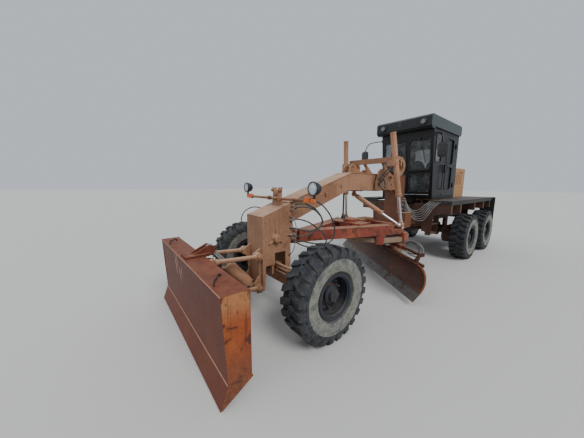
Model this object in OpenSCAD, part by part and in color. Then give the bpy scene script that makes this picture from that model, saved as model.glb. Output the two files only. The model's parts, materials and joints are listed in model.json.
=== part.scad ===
// Motor grader with a front dozer blade. Millimetres, +X forward, +Y left, +Z up.
// The origin is on the ground, under the middle of the machine.

/* [Wheels] */
// Radius of a tyre over its lugs
tyre_r = 585; // [570:1:600]
// Width of a tyre over its sidewalls
tyre_w = 370; // [350:1:390]
// Lugs round each side of a tyre
lug_count = 18; // [14:1:18]
// Depth of the lugs
lug_depth = 30; // [15:1:36]
// Radius of the rim's well, where the tyre sits
rim_r = 252; // [246:1:258]
// Height of the rim's edge above its well
rim_lip = 34; // [26:1:40]
// Radius of the spindle in each hub
spindle_r = 45; // [35:1:55]
// Distance from the front axle to the middle of the rear wheels
wheelbase = 6000; // [5900:10:6100]
// Distance between the two rear axles
rear_spread = 1520; // [1450:10:1600]
// Distance from a king pin to the middle of its tyre
hub_reach = 270; // [265:1:285]
// Distance between the middles of the rear tyres
rear_track = 2096; // [2080:2:2120]

/* [Main frame] */
// Width of the head over its side plates
head_w = 440; // [420:10:460]
// Thickness of the head's plates
head_plate = 16; // [10:1:20]
// Width of the spine beam
spine_w = 330; // [300:10:350]
// Height of the top of the spine beam
spine_top = 2105; // [2080:5:2150]
// Depth of the level part of the spine beam
spine_depth = 320; // [280:10:340]
// Depth of the column, front to back
column_depth = 300; // [260:10:340]
// Height of the bottom of the rear frame rails
rail_bottom = 950; // [920:10:980]
// Height of a rear frame rail
rail_h = 300; // [260:10:320]
// Thickness of a rear frame rail
rail_t = 70; // [50:5:80]
// Distance between the middles of the rails
rail_gap = 680; // [660:10:700]
// Radius of the bore in the rear hitch
hitch_r = 25; // [15:1:30]

/* [Front axle] */
// Distance between the two king pins
king_track = 1600; // [1580:10:1620]
// Height of the king pin middles
king_z = 560; // [550:5:570]
// Height of the lean bar above the king pin middles
lean_arm = 190; // [180:5:200]
// Length of a steering arm
steer_arm = 200; // [180:10:220]

/* [Cab] */
// Width of the cab
cab_w = 1266; // [1200:2:1280]
// Thickness of the cab's walls
cab_wall = 40; // [30:1:50]
// Thickness of the window glass
glass_t = 6; // [4:1:10]
// Height of the cab floor's underside
cab_z0 = 1560; // [1550:5:1570]
// Height of the top of the walls
cab_z1 = 3190; // [3150:10:3220]
// Height of the top of the roof
roof_top = 3440; // [3420:5:3480]
// Clearance round a door
door_gap = 6; // [5:1:10]

/* [Deck] */
// Half the width of the deck
deck_y = 1125; // [1100:5:1150]
// Height of the top of the deck
deck_z = 1545; // [1535:1:1550]
// Depth of the deck's edge
deck_edge = 95; // [85:1:105]
// Thickness of the deck plate
deck_t = 10; // [6:1:14]
// Place of the deck's front edge
deck_x1 = -850; // [-870:5:-840]

/* [Engine hood] */
// Width of the hood
hood_w = 760; // [740:10:780]
// Height of the top of the hood
hood_top = 2420; // [2380:10:2460]
// Thickness of the hood's sheet
hood_t = 20; // [10:1:30]

/* [Drawbar and circle] */
// Height of the drawbar's beams
drawbar_h = 180; // [160:5:190]
// Height of the underside of the drawbar
drawbar_z = 950; // [945:1:960]
// Outer radius of the circle
circle_r = 790; // [780:1:795]
// Inner radius of the circle
circle_bore = 640; // [620:5:650]
// Thickness of the circle
circle_t = 80; // [70:1:85]
// Teeth inside the circle
tooth_count = 60; // [48:1:72]
// Radius of the drawbar's ball
ball_r = 70; // [60:1:75]

/* [Moldboard] */
// Length of the moldboard
mold_l = 3500; // [3400:10:3600]
// Radius of the moldboard's curve
mold_r = 320; // [300:5:360]
// Thickness of the moldboard's plate
mold_t = 20; // [16:1:24]
// Angle of the moldboard from straight across
blade_angle = 33; // [25:1:40]

/* [Cylinders] */
// Radius of a lift cylinder's barrel
lift_r = 52; // [45:1:55]
// Radius of a lift cylinder's rod
lift_rod_r = 28; // [22:1:32]
// Radius of the swing cylinder's barrel
swing_r = 48; // [40:1:55]
// Radius of the swing cylinder's rod
swing_rod_r = 25; // [20:1:28]
// Radius of the dozer cylinder's barrel
dozer_cyl_r = 82; // [70:1:85]
// Radius of the dozer cylinder's rod
dozer_rod_r = 36; // [30:1:40]

/* [Dozer blade] */
// Width of the dozer blade
dozer_w = 2484; // [2450:2:2500]
// Height of the dozer blade's top
dozer_top = 1008; // [980:2:1040]
// Depth of the dozer blade, front to back
dozer_depth = 250; // [230:5:260]
// Thickness of the dozer blade's plates
dozer_t = 20; // [14:1:24]
// Radius of the dozer link pins
dozer_pin_r = 22; // [18:1:26]

/* [Hidden] */
$fn = 64;

// Clearances
pin_gap = 0.3;
side_gap = 5;
eps = 1;

// Places along the machine
front_x = 3000;
rear_x = front_x - wheelbase;
mid_wheel_x = rear_x + rear_spread / 2;
last_wheel_x = rear_x - rear_spread / 2;
tail_x = -4385;
frame_tail = -4305;
hood_x1 = -2560;
hood_x0 = -4160;
front_track = king_track + 2 * hub_reach;
// A tyre stands on the edges of its lugs, which lie off the middle by this share of a pitch
lug_top = 0.6;
wheel_z = tyre_r * cos(360 / lug_count * (1 - lug_top) / 2);

// Points of the linkages, as [x, y, z]
ball = [front_x - 320, 0, 1050];
circle_c = [500, 0, 0];
circle_z1 = drawbar_z - 70;
circle_z0 = circle_z1 - circle_t;
trunnion = [650, 590, 2300];
lift_eye = [450, 690, 1050];
lift_ball_r = 52;
// Room under a lift cylinder's ball, which drifts on its seat as the drawbar swings
lift_play = 0.9;
swing_pivot = [970, -100, 1700];
swing_eye = [630, 720, 1122];
swing_ball_r = 45;
swing_head_r = 50;
link_rear = [3450, 217, 900];
link_front = [4085, 217, 945];
arm_rear = [3440, 217, 450];
arm_front = arm_rear + link_front - link_rear;
dozer_cyl_low = [3445, 0, 400];
dozer_cyl_top = [4040, 0, 1070];

// Spine and head
head_x1 = 3385;
head_x0 = 2905;
head_top_f = [head_x1, 1440];
head_top_r = [head_x0, 1612];
knee_x = 1430;
column_x = -350;
spine_bottom = spine_top - spine_depth;
head_in = head_w / 2 - head_plate;
steel = [0.62, 0.47, 0.37];
rust = [0.45, 0.25, 0.15];
dark = [0.16, 0.17, 0.2];
black = [0.1, 0.1, 0.11];
red = [0.62, 0.3, 0.22];
chrome = [0.8, 0.8, 0.82];

// A box between two corners
module box(lo, hi) {
    translate(lo) cube(hi - lo);
}

// A plate with an outline in X and Z, from y0 to y1
module plate_y(points, y0, y1) {
    translate([0, y1, 0]) rotate([90, 0, 0]) linear_extrude(y1 - y0) polygon(points);
}

// A plate with an outline in Y and Z, from x0 to x1
module plate_x(points, x0, x1) {
    translate([x0, 0, 0]) rotate([90, 0, 90]) linear_extrude(x1 - x0) polygon(points);
}

// A round bar between two points
module bar(p, q, r) {
    d = q - p;
    translate(p) rotate([0, acos(d[2] / norm(d)), atan2(d[1], d[0])]) cylinder(h = norm(d), r = r);
}

// A round bar along Y
module pin_y(x, z, r, y0, y1) {
    translate([x, y0, z]) rotate([-90, 0, 0]) cylinder(h = y1 - y0, r = r);
}

// A round bar along X
module pin_x(y, z, r, x0, x1) {
    translate([x0, y, z]) rotate([0, 90, 0]) cylinder(h = x1 - x0, r = r);
}

// The same piece on the left and on the right
module both_sides() {
    children();
    mirror([0, 1, 0]) children();
}

// The left piece, or its mirror image on the right
module on_side(side) {
    mirror([0, side < 0 ? 1 : 0, 0]) children();
}

function flip(p, side) = [p[0], p[1] * side, p[2]];
function unit(v) = v / norm(v);

// Main frame: head, sloping spine beam and column
head_side = [[head_x1, 380], head_top_f, head_top_r, [head_x0 - 55, 1260], [head_x0, 1010],
    [head_x0, 620], [head_x0 + 85, 620], [head_x0 + 85, 905], [3180, 905], [3180, 735],
    [head_x1 - 55, 735], [head_x1 - 35, 380]];
lug_x = head_x1 - head_plate;
front_lug = [[lug_x, 340], [lug_x, 1010], [3450, 960], [3505, 930], [3505, 870], [3460, 845],
    [3410, 760], [3410, 600], [3490, 500], [3495, 420], [3450, 380], [3440, 340]];
head_boss = [3163, 1117];

module main_frame() {
    color(steel) {
        both_sides() plate_y(head_side, head_in, head_w / 2);
        box([lug_x, -head_in, 380], [head_x1, head_in, 1430]);
        box([head_x0, -head_in, 590], [head_x0 + 30, head_in, 1500]);
        box([3190, -head_in, 590], [3220, head_in, 900]);
        pin_x(0, 650, 38, head_x0 + 15, 3200);
        // Sloping top of the head
        plate_y([[lug_x, 1428], head_top_f, head_top_r, [head_x0 - 6, 1597]], -head_in, head_in);
        // Lugs and pins of the dozer linkage
        both_sides() {
            plate_y(front_lug, 140, 165);
            pin_y(link_rear[0], link_rear[2], dozer_pin_r, 150, link_rear[1] + 40);
            pin_y(arm_rear[0], arm_rear[2], dozer_pin_r, 150, arm_rear[1] + 40);
        }
        both_sides() plate_y([[lug_x, 330], [lug_x, 480], [3430, 465], [3495, 430], [3495, 365],
            [3440, 330]], 35 + side_gap, 65);
        pin_y(dozer_cyl_low[0], dozer_cyl_low[2], dozer_pin_r, -60, 60);
        // Cast boss with three ribs on each side of the head
        both_sides() pin_y(head_boss[0], head_boss[1], 52, head_in, head_w / 2 + 60);
        both_sides() translate([head_boss[0], head_w / 2 - eps, head_boss[1]])
            for (a = [30, 150, 270]) rotate([0, a, 0]) box([0, 0, -11], [135, 26, 11]);
        // Socket of the drawbar's ball
        difference() {
            box([ball[0] + 20, -85, ball[2] - 55], [head_x0 + 15, 85, ball[2] + 55]);
            translate(ball) sphere(r = ball_r + pin_gap);
        }
        // Spine beam and column
        plate_y([[head_top_r[0] + 20, 1597], [knee_x, spine_top], [column_x - column_depth, spine_top],
            [column_x - column_depth, 900], [column_x, 900], [column_x, spine_bottom],
            [knee_x + 70, spine_bottom], [head_top_r[0] + 20, 1290]], -spine_w / 2, spine_w / 2);
        plate_y([[head_top_r[0], 1610], [knee_x, spine_top], [column_x - column_depth, spine_top],
            [column_x - column_depth, spine_top + 12], [knee_x - 2, spine_top + 12],
            [head_top_r[0] + 4, 1622]], -spine_w / 2 - 12, spine_w / 2 + 12);
        box([column_x - column_depth, -rail_gap / 2 - rail_t / 2, rail_bottom - 50],
            [column_x, rail_gap / 2 + rail_t / 2, rail_bottom + rail_h]);
        // Socket of the swing cylinder
        difference() {
            union() {
                translate([swing_pivot[0], swing_pivot[1], swing_pivot[2]])
                    cylinder(h = spine_bottom + eps - swing_pivot[2], r = 34);
                translate([swing_pivot[0], swing_pivot[1] + 20, spine_bottom - 15]) cylinder(h = 16, r = 70);
            }
            translate(swing_pivot) sphere(r = swing_head_r + pin_gap);
            box([swing_pivot[0] - 80, swing_pivot[1] - 80, swing_pivot[2] - 10],
                [swing_pivot[0] + 80, swing_pivot[1] + 80, swing_pivot[2] + 36]);
        }
        // Casting that carries the lamp bar
        plate_x([[-110, 1560], [110, 1560], [75, 1760], [95, 1840], [60, 1840], [35, 1775], [-35, 1775],
            [-60, 1840], [-95, 1840], [-75, 1760]], head_x0 + 45, head_x0 + 105);
    }
}

// Rear frame: two rails, cross members, tail plate and hitch
module rear_frame() {
    rail_x0 = frame_tail + 30;
    rail_x1 = column_x - column_depth;
    color(rust) {
        both_sides() box([rail_x0, rail_gap / 2 - rail_t / 2, rail_bottom],
            [rail_x1, rail_gap / 2 + rail_t / 2, rail_bottom + rail_h]);
        for (x = [-800, -2550, -4150])
            box([x - 50, -rail_gap / 2, rail_bottom + 20], [x + 50, rail_gap / 2, rail_bottom + 160]);
        // Bearers under the deck and the cab
        for (x = [deck_x1 - 50, -1500, -2600, -3450, -4130])
            both_sides() box([x - 40, rail_gap / 2 - rail_t / 2, rail_bottom + rail_h],
                [x + 40, deck_y - 5, deck_z - deck_edge]);
        // Steps under the front of the deck
        both_sides() {
            for (x = [deck_x1 - 14, deck_x1 - 400])
                plate_x([[620, 720], [740, 720], [800, deck_z - deck_edge], [680, deck_z - deck_edge]],
                    x, x + 14);
            for (z = [735, 965, 1195]) box([deck_x1 - 390, 628 + (z - 720) / 12, z],
                [deck_x1 - 10, 734 + (z - 720) / 12, z + 25]);
            box([deck_x1 - 14, 540, 800], [deck_x1, 640, 1270]);
        }
        // Cab mounts
        for (x = [-1250, -2350]) both_sides()
            translate([x, rail_gap / 2, rail_bottom + rail_h])
                cylinder(h = cab_z0 - rail_bottom - rail_h, r = 32);
        box([frame_tail, -560, rail_bottom - 120], [rail_x0, 560, rail_bottom + rail_h + 100]);
        // Hitch fork with a bore for the tow pin
        for (z = [rail_bottom - 20, rail_bottom + 100]) difference() {
            box([frame_tail - 110, -70, z], [frame_tail, 70, z + 30]);
            translate([frame_tail - 65, 0, z - eps]) cylinder(h = 30 + 2 * eps, r = hitch_r);
        }
    }
}

// Saddle: side plates on the spine, top bar and the lift cylinders' forks
saddle_side = [[700, 1790], [700, 1930], [640, 2080], [610, 2170], [540, 2215], [410, 2225],
    [520, 2350], [430, 2350], [230, 2190], [100, 2120], [-70, 2060], [-70, 1900], [20, 1790]];
function trunnion_dir(side) = unit([0.955, -0.296 * side, 0]);

module lift_fork(side) {
    t = flip(trunnion, side);
    turn = atan2(trunnion_dir(side)[1], trunnion_dir(side)[0]);
    translate(t) rotate([0, 0, turn]) {
        for (s = [-1, 1]) difference() {
            box([s * 90 - 12, -50, -55], [s * 90 + 12, 50, 55]);
            rotate([0, 90, 0]) cylinder(h = 300, r = 20 + pin_gap, center = true);
        }
        box([-102, side < 0 ? 86 : -110, -55], [102, side < 0 ? 110 : -86, 55]);
        for (s = [-1, 1]) box([s * 90 - 12, side < 0 ? 40 : -100, -55],
            [s * 90 + 12, side < 0 ? 100 : -40, 55]);
    }
}

module saddle() {
    color(steel) {
        both_sides() difference() {
            plate_y(saddle_side, spine_w / 2 + 12 + 25, spine_w / 2 + 12 + 50);
            pin_y(170, 2040, 45, 0, 400);
            pin_y(90, 1900, 25, 0, 400);
            pin_y(-10, 1960, 20, 0, 400);
        }
        for (x = [60, 560]) box([x - 60, -spine_w / 2 - 40, spine_bottom - 20],
            [x + 60, spine_w / 2 + 40, spine_bottom]);
        for (x = [60, 560]) both_sides() box([x - 60, spine_w / 2, spine_bottom - 20],
            [x + 60, spine_w / 2 + 40, spine_bottom + 200]);
        // Top bar
        box([440, -500, 2340], [545, 500, 2440]);
        both_sides() box([450, 430, 2245], [560, 530, 2345]);
        for (s = [-1, 1]) lift_fork(s);
    }
}

// Deck: plates, edges and rear mudguards
module deck() {
    inner = hood_w / 2 + 15;
    color(dark) {
        both_sides() {
            translate([0, 0, deck_z - deck_t]) linear_extrude(deck_t)
                polygon([[deck_x1, 660], [deck_x1, deck_y], [tail_x, deck_y], [tail_x, inner],
                    [hood_x1, inner], [hood_x1, 660]]);
            box([tail_x, deck_y - 20, deck_z - deck_edge], [deck_x1, deck_y, deck_z - deck_t]);
            box([deck_x1 - 20, 660, deck_z - deck_edge], [deck_x1, deck_y - 20, deck_z - deck_t]);
            box([tail_x, 660, deck_z - deck_edge], [tail_x + 20, deck_y - 20, deck_z - deck_t]);
            // Mudguard behind the last wheel
            box([tail_x - 15, 830, 560], [tail_x, deck_y + 70, deck_z]);
        }
    }
}

// Rear axle across the machine, hung from the rails
module rear_axle() {
    color(rust) {
        pin_y(rear_x, wheel_z, 120, -590, 590);
        pin_y(rear_x, wheel_z, 210, -170, 170);
        both_sides() box([rear_x - 110, rail_gap / 2 - rail_t / 2, wheel_z + 60],
            [rear_x + 110, rail_gap / 2 + rail_t / 2, rail_bottom]);
    }
}

// Gearbox under the cab, with the shaft to the rear axle
module gearbox() {
    color(rust) {
        box([-2100, -200, 800], [-1250, 200, 1400]);
        pin_x(0, 1050, 150, -1260, -900);
        bar([-2090, 0, 900], [rear_x + 215, 0, wheel_z + 40], 50);
        both_sides() box([-1750, 190, 1000], [-1550, rail_gap / 2 - rail_t / 2, 1060]);
    }
}

// Tandem cases with the rear spindles
case_y0 = 590;
case_y1 = 790;
case_r = 215;
module tandem_cases() {
    color(steel) both_sides() {
        hull() for (x = [mid_wheel_x, last_wheel_x]) pin_y(x, wheel_z, case_r, case_y0, case_y1);
        for (x = [mid_wheel_x, last_wheel_x]) {
            pin_y(x, wheel_z, 120, case_y1 - eps, rear_track / 2 - 75);
            pin_y(x, wheel_z, spindle_r, case_y1 - eps, rear_track / 2 + 80);
        }
    }
}

// Tyre: one ring of points across its profile for each place round it
bead_r = rim_r / cos(360 / lug_count * lug_top / 2) + 0.4;
lip_r = rim_r + rim_lip + side_gap;
// Columns: place across as a share of the width, radius, depth of the groove as a share, turn
tyre_rows = [[-0.387, bead_r, 0, 0], [-0.387, lip_r, 0, 0], [-0.5, 0.8 * tyre_r, 0.25, 0],
    [-0.43, tyre_r, 1, 0], [0, tyre_r, 1, 0.5], [0.43, tyre_r, 1, 0],
    [0.5, 0.8 * tyre_r, 0.25, 0], [0.387, lip_r, 0, 0], [0.387, bead_r, 0, 0]];

module tyre(p) {
    rows = tyre_rows;
    steps = [0, lug_top, (1 + lug_top) / 2];
    n = 3 * lug_count;
    m = len(rows);
    pitch = 360 / lug_count;
    points = [for (i = [0:n - 1]) for (j = [0:m - 1])
        let (k = i % 3,
            a = pitch * (floor(i / 3) + steps[k] - lug_top / 2 + rows[j][3]) - 90 + pitch / 2,
            r = rows[j][1] - (k == 2 ? rows[j][2] * lug_depth : 0))
        [r * cos(a), rows[j][0] * tyre_w, r * sin(a)]];
    faces = [for (i = [0:n - 1]) for (j = [0:m - 1])
        let (a = i * m + j, b = i * m + (j + 1) % m,
            c = ((i + 1) % n) * m + (j + 1) % m, d = ((i + 1) % n) * m + j)
        each [[a, c, b], [a, d, c]]];
    color(black) translate(p) polyhedron(points = points, faces = faces, convexity = 6);
}

// Rim with its disc and hub, at p, with its outer face towards the side given
module rim(p, side) {
    half = 0.39 * tyre_w + 1;
    lip = 12;
    color(dark) translate(p) rotate([-90 * side, 0, 0]) {
        rotate_extrude(convexity = 4) polygon([[rim_r - 12, -half - lip], [rim_r + rim_lip, -half - lip],
            [rim_r + rim_lip, -half], [rim_r, -half], [rim_r, half], [rim_r + rim_lip, half],
            [rim_r + rim_lip, half + lip], [rim_r - 12, half + lip]]);
        rotate_extrude(convexity = 4) polygon([[spindle_r + pin_gap, -70], [110, -70], [110, 15],
            [rim_r - 5, -15], [rim_r - 5, 5], [110, 35], [110, 85], [75, 100], [70, 130], [0, 135],
            [0, 84], [spindle_r + pin_gap, 84]]);
    }
}

// Front axle beam with an ear at each end
module front_axle() {
    color(rust) difference() {
        union() {
            box([front_x - 75, -620, 430], [front_x + 75, 620, 585]);
            box([front_x - 40, -king_track / 2 + 30, king_z - 60],
                [front_x + 40, king_track / 2 - 30, king_z + 60]);
            both_sides() pin_x(king_track / 2, king_z, 72, front_x - 40, front_x + 40);
            box([front_x - 60, -85, 580], [front_x + 60, 85, 700]);
        }
        both_sides() pin_x(king_track / 2, king_z, 25 + pin_gap, front_x - 60, front_x + 60);
        pin_x(0, 650, 38 + pin_gap, front_x - 100, front_x + 100);
    }
}

// Bracket that leans on the end of the axle and carries the king pin
module lean_bracket(side) {
    k = [front_x, side * king_track / 2, king_z];
    color(steel) translate(k) {
        pin_x(0, 0, 25, -75, 75);
        for (s = [-1, 1]) box([s * 60 - 15, -48, -115], [s * 60 + 15, 48, 115]);
        box([-75, -48, 90], [75, 48, 118]);
        box([75 - eps, -28, 90], [122, 28, 118]);
        box([-75, -48, -118], [75, 48, -90]);
        translate([0, 0, 105]) cylinder(h = 70, r = 28);
        translate([0, 0, -175]) cylinder(h = 70, r = 28);
        // Arm and pin of the lean bar
        box([104, -28, 100], [122, 28, lean_arm + 30]);
        pin_x(0, lean_arm, 18, 110, 172);
    }
}

// Steering knuckle: a yoke round the bracket, the spindle and the steering arm
module knuckle(side) {
    k = [front_x, side * king_track / 2, king_z];
    reach = front_track / 2 - king_track / 2;
    color(rust) translate(k) mirror([0, side < 0 ? 1 : 0, 0]) {
        difference() {
            union() {
                for (z = [125, -165]) {
                    translate([0, 0, z]) cylinder(h = 40, r = 54);
                    box([-54, 0, z], [54, 116, z + 40]);
                }
                box([-54, 90, -165], [54, 116, 165]);
                // Steering arm
                box([-steer_arm, -28, -165], [0, 28, -140]);
                translate([-steer_arm, 0, -165]) cylinder(h = 25, r = 28);
            }
            translate([0, 0, -200]) cylinder(h = 400, r = 28 + pin_gap);
            if (side > 0) translate([-steer_arm, 0, -200]) cylinder(h = 100, r = 15 + pin_gap);
        }
        translate([0, 0, wheel_z - king_z]) {
            pin_y(0, 0, 75, 100, reach - 75);
            pin_y(0, 0, spindle_r, 100, reach + 80);
        }
        // Ball under the arm for the tie rod
        if (side < 0) {
            translate([-steer_arm, 0, tie_z - king_z]) cylinder(h = 40, r = 12);
            translate([-steer_arm, 0, tie_z - king_z]) sphere(r = tie_ball_r);
        }
    }
}

// Bar that joins the tops of the two lean brackets
module lean_bar() {
    color(steel) {
        difference() {
            both_sides() pin_x(king_track / 2, king_z + lean_arm, 38, front_x + 127, front_x + 167);
            both_sides() pin_x(king_track / 2, king_z + lean_arm, 18 + pin_gap,
                front_x + 110, front_x + 180);
        }
        bar([front_x + 147, -king_track / 2 + 34, king_z + lean_arm],
            [front_x + 147, king_track / 2 - 34, king_z + lean_arm], 18);
    }
}

tie_z = king_z - 165 - 37;
tie_ball_r = 26;
module tie_rod_ball() {
    color(rust) translate([front_x - steer_arm, king_track / 2, tie_z]) {
        box([-32, -22, -22], [32, 22, 24]);
        translate([0, 0, 10]) cylinder(h = 60, r = 15);
        pin_x(0, 0, 12, -50, 50);
    }
}

module tie_rod() {
    x = front_x - steer_arm;
    y = king_track / 2;
    color(steel) {
        difference() {
            union() {
                for (s = [-1, 1]) box([x + s * 43 - 7, y - 60, tie_z - 22],
                    [x + s * 43 + 7, y + 22, tie_z + 22]);
                box([x - 50, y - 75, tie_z - 22], [x + 50, y - 50, tie_z + 22]);
            }
            pin_x(y, tie_z, 12 + pin_gap, x - 60, x + 60);
        }
        bar([x, y - 60, tie_z], [x, -y + 30, tie_z], 17);
        difference() {
            translate([x, -y, tie_z - 20]) cylinder(h = 40, r = 42);
            translate([x, -y, tie_z - 30]) cylinder(h = 60, r = tie_ball_r + pin_gap);
        }
    }
}

// Cab: floor and walls with the windows and the door openings cut
front_foot_x = -1060;
front_head_x = -860;
cab_rear_x = -2500;
sill_z = 2230;
door_x0 = -2320;
door_x1 = -1560;
door_z0 = cab_z0 + 60;
door_z1 = 3130;
function front_at(z) = front_foot_x + (front_head_x - front_foot_x) * (z - cab_z0) / (cab_z1 - cab_z0);
cab_side = [[front_foot_x, cab_z0], [front_head_x, cab_z1], [cab_rear_x, cab_z1], [cab_rear_x, cab_z0]];
// The windows, as [lowest, highest] across and up
side_pane = [[-1400, 2430], [-1040, 3110]];
door_panes = [[[-2160, 2430], [-1740, 3050]], [[-2160, 1790], [-1740, 2360]]];
front_panes = [[[-570, 2250], [0, 2950]], [[80, 2250], [570, 2950]],
    [[-570, 1720], [0, 2180]], [[80, 1720], [570, 2180]]];
rear_pane = [[-480, 2230], [480, 2950]];

module cab_body() {
    half = cab_w / 2;
    color(dark) difference() {
        plate_y(cab_side, -half, half);
        // The inside
        plate_y([[front_foot_x - cab_wall, cab_z0 + cab_wall], [front_head_x - cab_wall, cab_z1 + eps],
            [cab_rear_x + cab_wall, cab_z1 + eps], [cab_rear_x + cab_wall, cab_z0 + cab_wall]],
            -half + cab_wall, half - cab_wall);
        // Front windows
        for (p = front_panes) box([front_foot_x - 200, p[0][0], p[0][1]],
            [front_head_x + 200, p[1][0], p[1][1]]);
        // Rear window
        box([cab_rear_x - 10, rear_pane[0][0], rear_pane[0][1]],
            [cab_rear_x + cab_wall + 10, rear_pane[1][0], rear_pane[1][1]]);
        // Side windows and door openings
        box([side_pane[0][0], -half - 10, side_pane[0][1]], [side_pane[1][0], half + 10, side_pane[1][1]]);
        box([door_x0, -half - 10, door_z0], [door_x1, half + 10, door_z1]);
    }
}

module cab_roof() {
    half = cab_w / 2 + 27;
    color([0.3, 0.34, 0.36]) {
        plate_y([[-640, 3200], [-640, 3400], [-680, roof_top], [-2530, roof_top], [-2570, 3400],
            [-2570, 3240], [-2530, cab_z1 + 0.2], [-850, cab_z1 + 0.2], [-850, 3150], [-690, 3150]],
            -half, half);
    }
}

module cab_glass() {
    half = cab_w / 2;
    play = 0.5;
    color([0.5, 0.6, 0.62, 0.4]) {
        // Front panes lean with the wall
        for (p = front_panes) {
            z0 = p[0][1] + play;
            z1 = p[1][1] - play;
            plate_y([[front_at(z0) - 20, z0], [front_at(z1) - 20, z1], [front_at(z1) - 20 - glass_t, z1],
                [front_at(z0) - 20 - glass_t, z0]], p[0][0] + play, p[1][0] - play);
        }
        box([cab_rear_x + 15, rear_pane[0][0] + play, rear_pane[0][1] + play],
            [cab_rear_x + 15 + glass_t, rear_pane[1][0] - play, rear_pane[1][1] - play]);
        both_sides() box([side_pane[0][0] + play, half - 25, side_pane[0][1] + play],
            [side_pane[1][0] - play, half - 25 + glass_t, side_pane[1][1] - play]);
    }
}

// Door with its glass, hinged at its rear edge
module door(side) {
    half = cab_w / 2;
    color(dark) mirror([0, side < 0 ? 1 : 0, 0]) {
        difference() {
            box([door_x0 + door_gap, half - cab_wall, door_z0 + door_gap],
                [door_x1 - door_gap, half, door_z1 - door_gap]);
            for (p = door_panes)
                box([p[0][0], half - cab_wall - 10, p[0][1]], [p[1][0], half + 10, p[1][1]]);
        }
        for (p = door_panes)
            box([p[0][0] - eps, half - 25, p[0][1] - eps],
                [p[1][0] + eps, half - 25 + glass_t, p[1][1] + eps]);
        for (z = [1900, 2900]) translate([door_x0, half + 12, z - 60]) cylinder(h = 120, r = 12);
        for (z = [1900, 2900]) box([door_x0, half - 5, z - 60], [door_x0 + 40, half + 12, z + 60]);
        box([door_x1 - 90, half - eps, 2200], [door_x1 - 50, half + 35, 2400]);
    }
}

module cab_interior() {
    floor_z = cab_z0 + cab_wall;
    color(black) {
        for (y = [-260, 180]) {
            box([-2150, y - 190, floor_z], [-1750, y + 190, floor_z + 380]);
            box([-2230, y - 200, floor_z + 380], [-1700, y + 200, floor_z + 500]);
            plate_y([[-2250, floor_z + 500], [-2130, floor_z + 500], [-2190, floor_z + 1000],
                [-2250, floor_z + 1000]], y - 200, y + 200);
        }
        // Console and steering wheel
        box([-1330, -120, floor_z], [-1180, 120, floor_z + 550]);
        bar([-1290, 0, floor_z + 500], [-1450, 0, floor_z + 750], 35);
        translate([-1450, 0, floor_z + 750]) rotate([0, -32, 0])
            rotate_extrude() translate([200, 0]) circle(r = 14, $fn = 16);
        translate([-1450, 0, floor_z + 750]) rotate([0, -32, 0]) {
            box([-200, -15, -10], [200, 15, 6]);
            box([-15, -200, -10], [15, 200, 6]);
        }
    }
}

// Engine hood, a shell open below and at the rear
module engine_hood() {
    color([0.72, 0.53, 0.33]) difference() {
        box([hood_x0, -hood_w / 2, deck_z - deck_edge], [hood_x1, hood_w / 2, hood_top]);
        box([hood_x0 - eps, -hood_w / 2 + hood_t, deck_z - deck_edge - eps], [hood_x1 - hood_t,
            hood_w / 2 - hood_t, hood_top - hood_t]);
        // Louvres in the sides
        for (i = [0:8]) box([hood_x0 + 260 + i * 130, -hood_w / 2 - eps, hood_top - 500],
            [hood_x0 + 300 + i * 130, hood_w / 2 + eps, hood_top - 200]);
    }
}

module engine_block() {
    color(rust) {
        box([hood_x0 + 260, -260, 1100], [hood_x1 - 190, 260, hood_top - 220]);
        both_sides() for (x = [hood_x0 + 360, hood_x1 - 340])
            box([x - 50, 250, 1150], [x + 50, rail_gap / 2 - rail_t / 2, 1200]);
    }
}

module radiator_grille() {
    color([0.78, 0.66, 0.46]) {
        difference() {
            box([hood_x0 - 50, -hood_w / 2, deck_z - deck_edge], [hood_x0, hood_w / 2, hood_top]);
            box([hood_x0 - 60, -hood_w / 2 + 60, deck_z + 40],
                [hood_x0 + 10, hood_w / 2 - 60, hood_top - 60]);
        }
        for (i = [-5:5]) box([hood_x0 - 40, i * 56 - 6, deck_z + 30],
            [hood_x0 - 20, i * 56 + 6, hood_top - 50]);
        box([hood_x0 - 12, -hood_w / 2 + 60, deck_z + 40], [hood_x0 - 4, hood_w / 2 - 60, hood_top - 60]);
    }
}

// Lamp bar, headlights, turn lights and work lights
lamp_bar_x = head_x0 + 65;
lamp_bar_z = 1680;
module lamps() {
    color(black) {
        pin_y(lamp_bar_x + 60, lamp_bar_z, 20, -690, 690);
        both_sides() {
            box([lamp_bar_x + 25, 680, lamp_bar_z - 35], [lamp_bar_x + 95, 790, lamp_bar_z + 45]);
            box([lamp_bar_x + 40, 780, lamp_bar_z - 30], [lamp_bar_x + 80, 880, lamp_bar_z + 30]);
            translate([lamp_bar_x + 60, 853, lamp_bar_z + 25]) cylinder(h = 60, r = 14);
            translate([lamp_bar_x, 853, lamp_bar_z + 150]) rotate([0, 90, 0]) rotate_extrude()
                polygon([[0, -30], [30, -28], [62, -5], [80, 45], [86, 70], [86, 90], [0, 97]]);
        }
        // Work lights in the visor
        for (y = [-480, 480]) translate([-640, y, 3300]) rotate([0, 90, 0]) cylinder(h = 45, r = 75);
    }
}

// Mirrors on bent arms at the cab's front pillars
module mirrors() {
    color(black) both_sides() {
        box([-930, cab_w / 2, 3025], [-890, cab_w / 2 + 12, 3075]);
        bar([-910, cab_w / 2 + 12, 3050], [-620, 900, 3000], 11);
        translate([-620, 900, 3000]) sphere(r = 14);
        bar([-620, 900, 3000], [-565, 930, 2760], 11);
        box([-580, 840, 2480], [-550, 1040, 2790]);
    }
}

// Drawbar: ball, frame and the circle's guide shoes
module drawbar_ball() {
    color(rust) translate(ball) {
        sphere(r = ball_r);
        translate([0, 0, -112]) cylinder(h = 224, r = 28);
    }
}

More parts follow.
